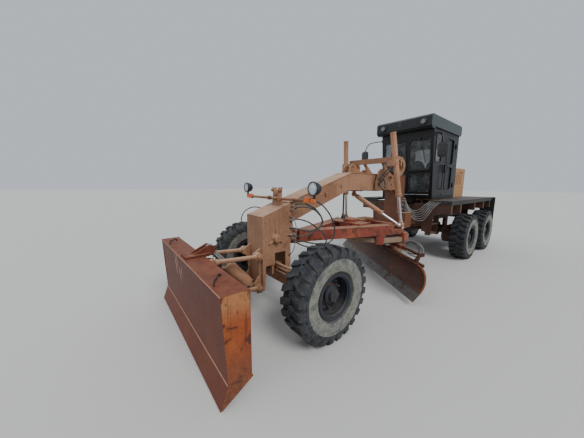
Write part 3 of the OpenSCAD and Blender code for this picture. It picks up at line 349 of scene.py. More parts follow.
class Shape:
    """Vertices and faces of one piece, with a material number on each face."""

    def __init__(self):
        self.verts, self.faces, self.mats = [], [], []

    def add(self, verts, faces, mat=0):
        base = len(self.verts)
        self.verts += [tuple(v) for v in verts]
        self.faces += [tuple(base + i for i in face) for face in faces]
        self.mats += [mat] * len(faces)

    def loft(self, rings, mat=0, caps=True):
        """Joins rings of equally many points."""
        n = len(rings[0])
        faces = []
        for i in range(len(rings) - 1):
            for j in range(n):
                k = (j + 1) % n
                faces.append((i * n + j, i * n + k, (i + 1) * n + k, (i + 1) * n + j))
        if caps:
            faces.append(tuple(reversed(range(n))))
            faces.append(tuple((len(rings) - 1) * n + j for j in range(n)))
        self.add([p for ring in rings for p in ring], faces, mat)

    def lathe(self, profile, center, axis, segments=32, mat=0, ring=False):
        """Turns (along, radius) points about an axis through center. A ring's profile is closed."""
        turn = Vector(UP).rotation_difference(Vector(axis).normalized()).to_matrix()
        rings = []
        for along, radius in list(profile) + ([profile[0]] if ring else []):
            r = max(radius, 0.0004)
            rings.append([Vector(center) + turn @ Vector((r * cos(a), r * sin(a), along)) for a in turns(segments)])
        self.loft(rings, mat, caps=not ring)

    def tube(self, points, radius, sides=8, mat=0):
        rings = []
        last = None
        for i, p in enumerate(points):
            a, b = points[max(0, i - 1)], points[min(len(points) - 1, i + 1)]
            ahead = (Vector(b) - Vector(a)).normalized()
            side = ahead.orthogonal() if last is None else last - ahead * last.dot(ahead)
            last = side.normalized()
            rings.append(circle(p, last, ahead, radius, sides))
        self.loft(rings, mat)

    def hoop(self, points, radius, sides=6):
        """A closed tube along a closed line."""
        n = len(points)
        middle = sum((Vector(p) for p in points), Vector()) / n
        rings = []
        for i in range(n + 1):
            a, b, here = points[(i - 1) % n], points[(i + 1) % n], Vector(points[i % n])
            ahead = (Vector(b) - Vector(a)).normalized()
            side = here - middle
            rings.append(circle(here, (side - ahead * side.dot(ahead)).normalized(), ahead, radius, sides))
        self.loft(rings, caps=False)

    def plate(self, outline, low, high):
        """An upright plate: its outline is given in x and z, its faces lie at low and high in y."""
        self.loft([[(x, y, z) for x, z in outline] for y in (low, high)])

    def pillow(self, low, high, power):
        """A box with soft, round edges."""
        mid = [(a + b) / 2 for a, b in zip(low, high)]
        half = [(b - a) / 2 for a, b in zip(low, high)]
        rows, share = 12, 2 / power
        rings = []
        for i in range(rows + 1):
            t = pi * (i / rows - 0.5) * 0.998
            rings.append([(mid[0] + half[0] * soft(cos(t), share) * soft(cos(a), share),
                           mid[1] + half[1] * soft(cos(t), share) * soft(sin(a), share),
                           mid[2] + half[2] * soft(sin(t), share)) for a in turns(28)])
        self.loft(rings)

    def box(self, low, high, bevel=0.0, turn=None, about=None):
        """A box with its edges cut at 45 degrees."""
        (x0, y0, z0), (x1, y1, z1) = low, high
        b = min(bevel, (x1 - x0) / 3, (y1 - y0) / 3, (z1 - z0) / 3)
        rings = []
        for z, inset in ((z0, b), (z0 + b, 0), (z1 - b, 0), (z1, b)):
            xa, xb, ya, yb = x0 + inset, x1 - inset, y0 + inset, y1 - inset
            rings.append([(xa + b, ya, z), (xb - b, ya, z), (xb, ya + b, z), (xb, yb - b, z),
                          (xb - b, yb, z), (xa + b, yb, z), (xa, yb - b, z), (xa, ya + b, z)])
        if turn is not None:
            rings = [[Vector(about) + turn @ (Vector(p) - Vector(about)) for p in ring] for ring in rings]
        self.loft(rings)

    def side_box(self, side, low, high, bevel=0.0):
        """A box given by its place on the left, on either side."""
        y0, y1 = sorted((side * low[1], side * high[1]))
        self.box((low[0], y0, low[2]), (high[0], y1, high[2]), bevel)

    def bolt(self, center, axis, size=0.012, mat=0):
        """A washer and a six-sided head standing on a face."""
        self.lathe([(0, size * 1.35), (size * 0.18, size * 1.35), (size * 0.2, size * 1.1)], center, axis, 12, mat)
        self.lathe([(size * 0.18, size), (size * 0.75, size), (size * 0.9, size * 0.8)], center, axis, 6, mat)

    def pin(self, center, axis, r):
        """A pin's end: a flat head with its edge cut."""
        self.lathe([(0.0, r), (0.008, r), (0.012, r - 0.006), (0.012, 0.0)], center, axis, 24)

    def weld(self, low, high, steps, radius, sides, shake):
        """A bead from low to high, whose height varies by chance."""
        low, high = Vector(low), Vector(high)
        self.tube([low + (high - low) * i / steps + Vector((0, 0, rng.uniform(-shake, shake)))
                   for i in range(steps + 1)], radius, sides)

    def make(self, name, body, looks, smooth=40):
        mesh = bpy.data.meshes.new(name)
        mesh.from_pydata(self.verts, [], self.faces)
        mesh.polygons.foreach_set("material_index", self.mats)
        for look in looks:
            mesh.materials.append(M[look])
        mesh.polygons.foreach_set("use_smooth", [True] * len(mesh.polygons))
        mesh.set_sharp_from_angle(angle=radians(smooth))
        mesh.validate()
        obj = bpy.data.objects.new(name, mesh)
        scene.collection.objects.link(obj)
        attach(obj, body)
        return obj


def curve_points(points, steps=5):
    """A smooth line through the points."""
    pts = [Vector(p) for p in points]
    pts = [2 * pts[0] - pts[1]] + pts + [2 * pts[-1] - pts[-2]]
    out = []
    for i in range(1, len(pts) - 2):
        p0, p1, p2, p3 = pts[i - 1:i + 3]
        for k in range(steps):
            t = k / steps
            out.append(0.5 * ((2 * p1) + (p2 - p0) * t + (2 * p0 - 5 * p1 + 4 * p2 - p3) * t * t
                              + (3 * p1 - p0 - 3 * p2 + p3) * t ** 3))
    out.append(pts[-2])
    return out


make_camera()


# Hoses, each a held curve between two fittings
BLADE_TURN = radians(33)


def in_blade(across, along, z):
    """A point given in the moldboard's own directions."""
    c, s = cos(BLADE_TURN), sin(BLADE_TURN)
    return (0.5 + across * c + along * s, along * c - across * s, z)


def hose(name, body, points, radius, look):
    line = curve_points(points)
    shape = Shape()
    shape.tube(line, radius, 8)
    obj = shape.make(name, body, [look], 60)
    ends = Shape()
    for here, there in ((line[0], line[1]), (line[-1], line[-2])):
        ends.lathe([(-0.012, radius * 1.2), (0.0, radius * 1.3), (0.012, radius * 1.75), (0.022, radius * 1.75),
                    (0.024, radius * 1.35), (0.05, radius * 1.3), (0.054, radius * 1.1)], here, there - here, 6)
    ends.make(name + "_fittings", body, ["steel"], 30)


# Columns: name, radius, look, points
HOSES = [
    ("head_hose_upper", 0.013, "hose", [(2.885, 0.222, 1.56), (2.8, 0.28, 1.6), (2.64, 0.31, 1.585),
        (2.47, 0.33, 1.49), (2.35, 0.34, 1.33), (2.4, 0.33, 1.21), (2.55, 0.31, 1.17), (2.74, 0.28, 1.2),
        (2.9, 0.223, 1.25)]),
    ("head_hose_middle", 0.012, "hose", [(2.9, 0.222, 1.5), (2.79, 0.3, 1.555), (2.6, 0.35, 1.53),
        (2.44, 0.37, 1.42), (2.37, 0.37, 1.3), (2.45, 0.36, 1.2), (2.62, 0.33, 1.13), (2.8, 0.28, 1.11),
        (2.93, 0.223, 1.14)]),
    ("head_hose_long", 0.012, "hose", [(2.86, 0.165, 1.62), (2.66, 0.24, 1.68), (2.42, 0.34, 1.6),
        (2.22, 0.37, 1.42), (2.1, 0.38, 1.2), (2.09, 0.37, 1.02), (2.22, 0.35, 0.93), (2.42, 0.31, 0.94),
        (2.62, 0.24, 0.99), (2.8, 0.088, 1.03)]),
    ("head_hose_low", 0.011, "hose", [(2.91, 0.223, 1.35), (2.8, 0.28, 1.37), (2.6, 0.33, 1.3),
        (2.36, 0.36, 1.12), (2.26, 0.36, 0.98), (2.36, 0.34, 0.9), (2.56, 0.27, 0.9), (2.74, 0.18, 0.98),
        (2.82, 0.088, 1.06)]),
    ("head_tube_light", 0.007, "grey_hose", [(2.92, 0.223, 1.42), (2.88, 0.26, 1.4), (2.85, 0.29, 1.28),
        (2.86, 0.3, 1.12), (2.87, 0.29, 0.98), (2.9, 0.26, 0.87), (2.93, 0.223, 0.83)]),
    ("head_hose_front", 0.009, "hose", [(3.0, -0.223, 1.45), (3.06, -0.32, 1.5), (3.16, -0.42, 1.52),
        (3.28, -0.46, 1.47), (3.36, -0.45, 1.37), (3.39, -0.38, 1.25), (3.37, -0.29, 1.16),
        (3.32, -0.223, 1.12)]),
    ("saddle_hose_upper", 0.012, "hose", [(0.62, 0.23, 2.0), (0.625, 0.275, 2.03), (0.58, 0.31, 2.1),
        (0.5, 0.34, 2.19), (0.46, 0.37, 2.26), (0.44, 0.41, 2.33), (0.438, 0.42, 2.38)]),
    ("saddle_hose_lower", 0.012, "hose", [(0.52, 0.23, 1.95), (0.53, 0.27, 1.99), (0.5, 0.3, 2.07),
        (0.42, 0.33, 2.15), (0.36, 0.36, 2.23), (0.36, 0.39, 2.31), (0.42, 0.42, 2.37)]),
    ("saddle_hose_loop", 0.011, "hose", [(0.62, 0.23, 1.93), (0.65, 0.28, 1.9), (0.62, 0.3, 1.83),
        (0.54, 0.3, 1.8), (0.46, 0.29, 1.85), (0.45, 0.28, 1.93), (0.5, 0.27, 2.0), (0.58, 0.27, 1.97),
        (0.6, 0.23, 1.88)]),
]

# Columns: name, look, points in the moldboard's directions
SHIFT_HOSES = [
    ("shift_hose_outer", "grey_hose", [(-0.345, 0.74, 0.762), (-0.37, 0.81, 0.825), (-0.42, 0.93, 0.862),
        (-0.45, 1.08, 0.85), (-0.47, 1.18, 0.77), (-0.46, 1.16, 0.67), (-0.44, 1.04, 0.6), (-0.41, 0.88, 0.6),
        (-0.365, 0.78, 0.675)]),
    ("shift_hose_inner", "hose", [(-0.35, 0.7, 0.762), (-0.41, 0.8, 0.795), (-0.43, 0.9, 0.835),
        (-0.45, 1.03, 0.81), (-0.46, 1.1, 0.73), (-0.45, 1.05, 0.65), (-0.43, 0.93, 0.62), (-0.4, 0.8, 0.63),
        (-0.365, 0.71, 0.675)]),
]

for hose_name, hose_r, hose_look, hose_points in HOSES:
    hose(hose_name, CHASSIS, hose_points, hose_r, hose_look)
for hose_name, hose_look, hose_points in SHIFT_HOSES:
    hose(hose_name, "tilter", [in_blade(*p) for p in hose_points], 0.01, hose_look)
for i in range(6):
    f = 0.045 * i
    hose("cab_hose_%d" % (i + 1), CHASSIS,
         [(-0.6 + 0.02 * (i % 2), 0.168, 1.57 - 0.05 * i), (-0.62, 0.21, 1.55 - 0.05 * i),
          (-0.64, 0.26 + f / 3, 1.43 - f), (-0.67, 0.33 + f / 3, 1.33 - f), (-0.7, 0.43 + f / 2, 1.29 - f),
          (-0.73, 0.53 + f / 2, 1.34 - f), (-0.78, 0.62 + f * 0.8, 1.45 - f / 4), (-0.848, 0.68 + f, 1.51)],
         0.009, "grey_hose")


# Wheels
RIM_LIP_R, LUGS, BLOCKS, TYRE_STEPS = 0.286, 24, 48, 96
STUDS, STUD_R = 10, 0.172
JOINTS = {joint["name"]: joint for joint in frame["record"]["behaviour"]["joints"]}
WHEEL_Z = JOINTS["wheel_front_left_spin"]["pos_m"][2]


def upright(x, y, z, r, t):
    """A point at the angle t on a circle that faces sideways."""
    return (x + r * cos(t), y, z + r * sin(t))


def level(x, y, z, r, t):
    """A point at the angle t on a circle that faces up."""
    return (x + r * cos(t), y + r * sin(t), z)


def make_tyre(where, x, y):
    shape = Shape()
    # Columns: place across, radius, material of the band that starts there
    half = [(0.142, 0.254, 2), (0.1435, 0.284, 2), (0.15, RIM_LIP_R + 0.004, 2), (0.163, 0.299, 2),
            (0.171, 0.311, 1), (0.18, 0.35, 1), (0.1845, 0.405, 1), (0.183, 0.446, 1), (0.1847, 0.45, 1),
            (0.184, 0.457, 0), (0.181, 0.465, 0), (0.176, 0.495, 0), (0.168, 0.524, 0), (0.15, 0.547, 0),
            (0.08, 0.555, 0)]
    profile = half + [(0, 0.557, 0)] + [(-a, r, m) for a, r, m in reversed(half)]
    rings = [[upright(x, y + a, WHEEL_Z, r, t) for a, r, _ in profile] for t in turns(TYRE_STEPS)]
    n = len(profile)
    for i in range(TYRE_STEPS):
        k = (i + 1) % TYRE_STEPS
        for j in range(n):
            q = (j + 1) % n
            band = profile[j][2] if j < n // 2 else profile[q][2]
            shape.add([rings[i][j], rings[i][q], rings[k][q], rings[k][j]], [(0, 1, 2, 3)], band)
    # Lugs: from the shoulder to the middle, leaning forward
    pitch = 2 * pi / LUGS
    # Columns: place across, radius of the top, radius of the foot, turn and half width as shares of a pitch
    rows = [(0.18, 0.49, 0.478, 0, 0.3), (0.179, 0.53, 0.506, 0, 0.31), (0.168, 0.573, 0.516, 0.02, 0.31),
            (0.158, 0.5825, 0.53, 0.03, 0.3), (0.09, 0.585, 0.548, 0.16, 0.28),
            (0.035, 0.585, 0.55, 0.36, 0.26), (-0.014, 0.585, 0.55, 0.48, 0.23)]
    for side, _ in SIDES[::-1]:
        for i in range(LUGS):
            lug = []
            for a, top, foot, turn, wide in rows:
                mid = pitch * (i + turn + (0.5 if side > 0 else 0.0))
                lug.append([upright(x, y + side * a, WHEEL_Z, r, mid + w * pitch) for r, w in
                            ((top, -wide * 0.84), (top, wide * 0.84), (foot, wide), (foot, -wide))][::side])
            shape.loft(lug)
        # Small blocks between the lugs' feet and the sidewall's rib
        for i in range(BLOCKS):
            shape.loft([[upright(x, y + side * out, WHEEL_Z, r, 2 * pi * (i + w * grow) / BLOCKS) for r, w in
                         ((0.462, -0.26), (0.462, 0.26), (0.492, 0.22), (0.492, -0.22))][::side]
                        for out, grow in ((0.1815, 1.0), (0.1846, 0.8))])
    obj = shape.make("tyre_%s_rubber" % where, "wheel_" + where, ["tread", "side", "bead"], 32)
    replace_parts(obj, "tyre_" + where)


def make_wheel_trim(where, x, y, side):
    """Studs with nuts, the lock ring, the hub's ribs and a valve."""
    shape = Shape()
    out, middle = (0, side, 0), (x, y, WHEEL_Z)
    for i in range(STUDS):
        p = upright(x, y + side * 0.02, WHEEL_Z, STUD_R, 2 * pi * (i + 0.5) / STUDS)
        shape.lathe([(0, 0.021), (0.004, 0.021), (0.006, 0.018), (0.022, 0.018), (0.026, 0.015)], p, out, 6, 1)
        shape.lathe([(0.02, 0.0095), (0.043, 0.0095), (0.046, 0.007)], p, out, 10, 1)
        # Ribs on the hub
        t = 2 * pi * i / STUDS
        rib = ((0.076, 0.096), (0.076, 0.075), (0.108, 0.034), (0.108, 0.046))
        shape.loft([[upright(x, y + side * z, WHEEL_Z, r, t + w) for r, z in rib] for w in (-0.09, 0.09)][::side], 2)
        shape.bolt(upright(x, y + side * 0.131, WHEEL_Z, 0.055, t), out, 0.007, 2)
    shape.lathe([(0.1575, 0.252), (0.1578, 0.284), (0.1615, 0.283), (0.1625, 0.262), (0.1605, 0.252)],
                middle, out, 72, ring=True)
    shape.lathe([(0.12, 0.2405), (0.12, 0.233), (0.134, 0.229), (0.146, 0.2405)], middle, out, 72, ring=True)
    shape.lathe([(0.036, 0.109), (0.036, 0.124), (0.044, 0.122), (0.05, 0.109)], middle, out, 40, 2, ring=True)
    valve = [(x + dx, y + side * dy, WHEEL_Z) for dx, dy in ((0.225, 0.02), (0.222, 0.07), (0.21, 0.1))]
    shape.tube(curve_points(valve, 4), 0.005, 8, 1)
    shape.make("wheel_trim_" + where, "wheel_" + where, ["rim", "steel", "hub"])


WHEELS = {"front": (3.0, 1.07), "mid": (-2.24, 1.048), "rear": (-3.76, 1.048)}
for place, (wx, wy) in WHEELS.items():
    for side, word in SIDES:
        make_tyre("%s_%s" % (place, word), wx, side * wy)
        make_wheel_trim("%s_%s" % (place, word), wx, side * wy, side)


# Lamps on the head and in the visor
LAMP_X, LAMP_Y, LAMP_Z, BAR_Z = 2.97, 0.853, 1.83, 1.68


def make_lamps():
    bar = Shape()
    bar.tube([(LAMP_X + 0.06, y, BAR_Z) for y in (-0.69, -0.3, 0.3, 0.69)], 0.02, 14)
    for y in (-0.14, 0.14):
        bar.box((LAMP_X + 0.03, y - 0.03, BAR_Z - 0.03), (LAMP_X + 0.09, y + 0.03, BAR_Z + 0.026), 0.006)
        bar.bolt((LAMP_X + 0.06, y, BAR_Z + 0.024), UP)
    # Knobs of the casting above the bar
    for y, z in ((-0.09, 1.8), (0.09, 1.8), (0.0, 1.74)):
        bar.lathe([(-0.02, 0.0), (-0.02, 0.018), (0.0, 0.026), (0.03, 0.024), (0.04, 0.012), (0.042, 0.0)],
                  (LAMP_X + 0.02, y, z), X_AXIS, 16)
    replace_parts(bar.make("lamp_bar", CHASSIS, ["axle"]), "lamps")
    for side, word in SIDES:
        signal = Shape()
        signal.side_box(side, (LAMP_X + 0.027, 0.682, BAR_Z - 0.033), (LAMP_X + 0.093, 0.788, BAR_Z + 0.043), 0.012)
        signal.side_box(side, (LAMP_X + 0.042, 0.795, BAR_Z - 0.028), (LAMP_X + 0.078, 0.878, BAR_Z + 0.028), 0.01)
        # Ribs of the lenses
        for i in range(4):
            z = BAR_Z - 0.022 + 0.017 * i
            signal.side_box(side, (LAMP_X + 0.09, 0.69, z), (LAMP_X + 0.0955, 0.78, z + 0.006), 0.002)
        signal.make("turn_light_" + word, CHASSIS, ["amber"])
        shell = Shape()
        lamp_y = side * LAMP_Y
        at = (LAMP_X, lamp_y, LAMP_Z)
        shell.lathe([(-0.03, 0.0), (-0.03, 0.02), (-0.026, 0.032), (-0.005, 0.06), (0.02, 0.074), (0.045, 0.08),
                     (0.066, 0.0845), (0.07, 0.088), (0.092, 0.088), (0.0965, 0.083), (0.0965, 0.076), (0.082, 0.072),
                     (0.05, 0.055), (0.03, 0.02), (0.028, 0.0)], at, X_AXIS, 40)
        shell.tube([(LAMP_X + 0.06, lamp_y, BAR_Z + 0.026), (LAMP_X + 0.055, lamp_y, BAR_Z + 0.075)], 0.014, 10)
        shell.lathe([(0, 0.02), (0.02, 0.02), (0.024, 0.012)], (LAMP_X + 0.06, lamp_y, BAR_Z + 0.03), UP, 6)
        shell.make("headlight_shell_" + word, CHASSIS, ["black"])
        face = Shape()
        face.lathe([(0.084, 0.0), (0.084, 0.074), (0.0885, 0.0735), (0.093, 0.055), (0.0955, 0.028), (0.0962, 0.0)],
                   at, X_AXIS, 40)
        for i in range(9):
            y = lamp_y - 0.056 + 0.014 * i
            h = sqrt(0.066 ** 2 - (y - lamp_y) ** 2)
            face.box((LAMP_X + 0.092, y - 0.002, LAMP_Z - h), (LAMP_X + 0.0955, y + 0.002, LAMP_Z + h), 0.001)
        face.make("headlight_lens_" + word, CHASSIS, ["lens"])
        work = Shape()
        at = (-0.64, side * 0.48, 3.3)
        work.lathe([(0.0, 0.0), (0.0, 0.075), (0.026, 0.075), (0.034, 0.068), (0.034, 0.058), (0.02, 0.05),
                    (0.018, 0.0)], at, X_AXIS, 32)
        work.make("work_light_" + word, CHASSIS, ["black"])
        face = Shape()
        face.lathe([(0.018, 0.0), (0.018, 0.052), (0.026, 0.05), (0.032, 0.0)], at, X_AXIS, 32)
        face.make("work_light_lens_" + word, CHASSIS, ["lens_grey"])


# Mirrors on bent arms
def make_mirrors():
    shape = Shape()
    face = Shape()
    for side, _ in SIDES:
        arm = [(x, side * y, z) for x, y, z in (
            (-0.93, 0.64, 3.05), (-0.86, 0.7, 3.045), (-0.74, 0.8, 3.02), (-0.65, 0.875, 2.98),
            (-0.6, 0.92, 2.88), (-0.572, 0.935, 2.79))]
        shape.tube(curve_points(arm), 0.011, 10)
        shape.side_box(side, (-0.945, 0.633, 3.01), (-0.875, 0.645, 3.09), 0.004)
        for z in (3.025, 3.075):
            shape.bolt((-0.91, side * 0.645, z), (0, side, 0), 0.008)
        y0, y1 = sorted((side * 0.842, side * 1.036))
        shape.pillow((-0.592, y0, 2.485), (-0.552, y1, 2.788), 5.0)
        shape.lathe([(-0.02, 0.016), (0.02, 0.016)], (-0.572, side * 0.935, 2.785), UP, 12)
        y0, y1 = sorted((side * 0.858, side * 1.02))
        face.pillow((-0.5955, y0, 2.505), (-0.589, y1, 2.768), 7.0)
    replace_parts(shape.make("mirror_set", CHASSIS, ["black"]), "mirrors")
    face.make("mirror_glass", CHASSIS, ["mirror"])


# Inside of the cab
SEATS = {"operator": 0.18, "helper": -0.26}
FLOOR_Z = 1.6
WHEEL_TILT = Matrix.Rotation(radians(-32), 3, "Y")


def make_interior():
    shape = Shape()
    # A seat's foot. Columns: low x, high x, half width, low and high over the floor, bevel
    foot = ((-2.12, -1.78, 0.17, 0, 0.05, 0.01), (-2.05, -1.85, 0.12, 0.05, 0.3, 0.02),
            (-2.15, -1.75, 0.18, 0.3, 0.37, 0.015))
    for y in SEATS.values():
        for x0, x1, wide, low, high, bevel in foot:
            shape.box((x0, y - wide, FLOOR_Z + low), (x1, y + wide, FLOOR_Z + high), bevel)
    # Column and steering wheel
    shape.box((-1.33, -0.12, FLOOR_Z), (-1.18, 0.12, FLOOR_Z + 0.52), 0.02)
    shape.tube([(-1.29, 0, FLOOR_Z + 0.48), (-1.45, 0, FLOOR_Z + 0.745)], 0.03, 14)
    hub = Vector((-1.45, 0, FLOOR_Z + 0.75))
    shape.hoop([hub + WHEEL_TILT @ Vector(level(0, 0, 0, 0.2, t)) for t in turns(36)], 0.013, 10)
    for t in turns(3):
        shape.tube([hub, hub + WHEEL_TILT @ Vector(level(0, 0, 0, 0.195, t + 0.5))], 0.009, 8)
    shape.lathe([(-0.03, 0.03), (0.01, 0.04), (0.014, 0.03), (0.015, 0)], hub, WHEEL_TILT @ Vector(UP), 20)
    # Levers beside the column and a dial panel
    for i in range(5):
        for side, _ in SIDES:
            y = side * (0.07 + 0.025 * i)
            shape.tube([(-1.3, y, FLOOR_Z + 0.42), (-1.38, y * 1.05, FLOOR_Z + 0.62)], 0.005, 6)
            shape.lathe([(0, 0.006), (0.01, 0.013), (0.025, 0.013), (0.033, 0.004)],
                        (-1.38, y * 1.05, FLOOR_Z + 0.615), (-0.37, 0, 0.93), 10)
    shape.box((-1.3, -0.16, FLOOR_Z + 0.52), (-1.19, 0.16, FLOOR_Z + 0.62), 0.02)
    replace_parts(shape.make("cab_fittings", CHASSIS, ["black"]), "cab_interior")
    for word, y in SEATS.items():
        cushion = Shape()
        cushion.pillow((-2.21, y - 0.2, FLOOR_Z + 0.37), (-1.71, y + 0.2, FLOOR_Z + 0.505), 5.0)
        cushion.make("seat_cushion_" + word, CHASSIS, ["seat"], 60)
        back = Shape()
        rings = []
        for i in range(15):
            t = i / 14
            wide = 0.195 * (1 - max(0.0, (t - 0.6) / 0.4) ** 2.6 * 0.75)
            thick = 0.05 * (1 - 0.55 * t ** 3)
            rings.append([(-2.175 - 0.045 * t + thick * soft(cos(a), 0.6), y + wide * soft(sin(a), 0.6),
                           FLOOR_Z + 0.46 + 0.545 * t) for a in turns(24)])
        back.loft(rings)
        back.make("seat_back_" + word, CHASSIS, ["seat"], 60)


# Cab: seals with round corners, corner fillets, wipers, rails and handles
CAB_SIDE_Y, CAB_BACK_X = 0.633, -2.5


def cab_front_x(z):
    return -1.06 + 0.2 * (z - 1.56) / 1.63


def round_corners(y0, z0, y1, z1, r):
    """Points of a rectangle with round corners, a list for each corner."""
    steps = 5
    out = []
    for cy, cz, start in ((y1 - r, z1 - r, 0), (y0 + r, z1 - r, 90), (y0 + r, z0 + r, 180), (y1 - r, z0 + r, 270)):
        angles = [radians(start + 90 * i / steps) for i in range(steps + 1)]
        out.append([(cy + r * cos(a), cz + r * sin(a)) for a in angles])
    return out


def window_trim(shape, place, corners, r=0.07):
    """A rubber seal round a window, and fillets in its corners. place turns (across, up, out) to a point."""
    y0, z0, y1, z1 = corners
    groups = round_corners(y0, z0, y1, z1, r)
    shape.hoop([place(a, b, 0.003) for group in groups for a, b in group], 0.01, 6)
    for group, corner in zip(groups, ((y1, z1), (y0, z1), (y0, z0), (y1, z0))):
        shape.loft([[place(a, b, out) for a, b in [corner] + group] for out in (-0.012, 0.001)])


def handle(shape, side, radius, points):
    shape.tube(curve_points([(x, side * y, z) for x, y, z in points]), radius, 8)


def make_cab_trim():
    shape = Shape()
    for low, high in ((2.25, 2.95), (1.72, 2.18)):
        for y0, y1 in ((-0.57, 0.0), (0.08, 0.57)):
            window_trim(shape, lambda a, b, out: (cab_front_x(b) + out, a, b), (y0, low, y1, high))
    window_trim(shape, lambda a, b, out: (CAB_BACK_X - out, a, b), (-0.48, 2.23, 0.48, 2.95))
    for side, _ in SIDES:
        window_trim(shape, lambda a, b, out: (a, side * (CAB_SIDE_Y + out), b), (-1.4, 2.43, -1.04, 3.11), 0.06)
    # Wipers on the two upper front panes
    for y0, y1 in ((-0.3, -0.12), (0.33, 0.45)):
        x = cab_front_x(2.93)
        shape.box((x, y0 - 0.03, 2.955), (x + 0.05, y0 + 0.03, 3.0), 0.01)
        shape.tube([(cab_front_x(2.95) + 0.035, y0, 2.96), (cab_front_x(2.62) + 0.03, y1, 2.62)], 0.006, 6)
        shape.tube([(cab_front_x(2.78) + 0.018, y1 - 0.05, 2.78), (cab_front_x(2.4) + 0.018, y1 + 0.02, 2.42)],
                   0.007, 6)
    # A slot in the visor, gutters under the roof and grab handles
    shape.box((-0.645, -0.1, 3.27), (-0.632, -0.03, 3.39), 0.004)
    for side, _ in SIDES:
        shape.side_box(side, (-2.52, 0.655, 3.185), (-0.7, 0.664, 3.2), 0.002)
        handle(shape, side, 0.011, ((-1.46, CAB_SIDE_Y, 1.8), (-1.46, 0.675, 1.83), (-1.455, 0.68, 2.1),
                                    (-1.45, 0.675, 2.35), (-1.45, CAB_SIDE_Y, 2.38)))
    shape.make("cab_seals", CHASSIS, ["black"])
    rail = Shape()
    rail.tube([(-1.018, -0.5, 1.655), (-1.018, 0.0, 1.66), (-1.018, 0.56, 1.67)], 0.01, 10)
    for y in (-0.48, -0.15, 0.2, 0.54):
        rail.box((-1.056, y - 0.012, 1.652), (-1.016, y + 0.012, 1.67), 0.003)
    rail.make("cab_front_rail", CHASSIS, ["steel_light"])
    panels = Shape()
    # Roof: raised ribs, and the panel joints of the visor
    for y in (-0.42, -0.14, 0.14, 0.42):
        panels.box((-2.45, y - 0.05, 3.4385), (-0.8, y + 0.05, 3.4398), 0.0005)
    for y in (-0.34, 0.12, 0.36):
        panels.box((-0.6405, y - 0.004, 3.17), (-0.6385, y + 0.004, 3.385), 0.0008)
    # Bolts on the front and side walls
    for y in (-0.6, 0.6):
        for i in range(7):
            z = 1.7 + 0.22 * i
            panels.bolt((cab_front_x(z), y, z), X_AXIS, 0.007)
    for x in (-1.1, -1.3, -1.5, -2.35, -2.46):
        for side, _ in SIDES:
            panels.bolt((x, side * CAB_SIDE_Y, 1.6), (0, side, 0), 0.008)
    panels.make("cab_panels", CHASSIS, ["cab"])
    for side, word in ((1, "door_l"), (-1, "door_r")):
        door = Shape()
        for low, high in ((2.43, 3.05), (1.79, 2.36)):
            window_trim(door, lambda a, b, out: (a, side * (CAB_SIDE_Y + out), b), (-2.16, low, -1.74, high), 0.06)
        handle(door, side, 0.009, ((-1.63, 0.663, 2.22), (-1.63, 0.7, 2.24), (-1.63, 0.702, 2.31),
                                   (-1.63, 0.7, 2.37), (-1.63, 0.663, 2.39)))
        for z in (1.9, 2.9):
            for dz in (-0.04, 0.04):
                door.bolt((-2.296, side * 0.645, z + dz), (0, side, 0), 0.006)
        door.side_box(side, (-2.29, CAB_SIDE_Y, 1.645), (-1.59, 0.637, 1.7), 0.002)
        door.make("door_trim_" + word, word, ["black"])


# Frame: welds, bolts, link pins, rings on the saddle and the rod under the spine
HEAD_WELD_Y, SPINE_WELD_Y, SADDLE_FACE_Y, BOSS = 0.2205, 0.1655, 0.2275, (3.163, 1.117)


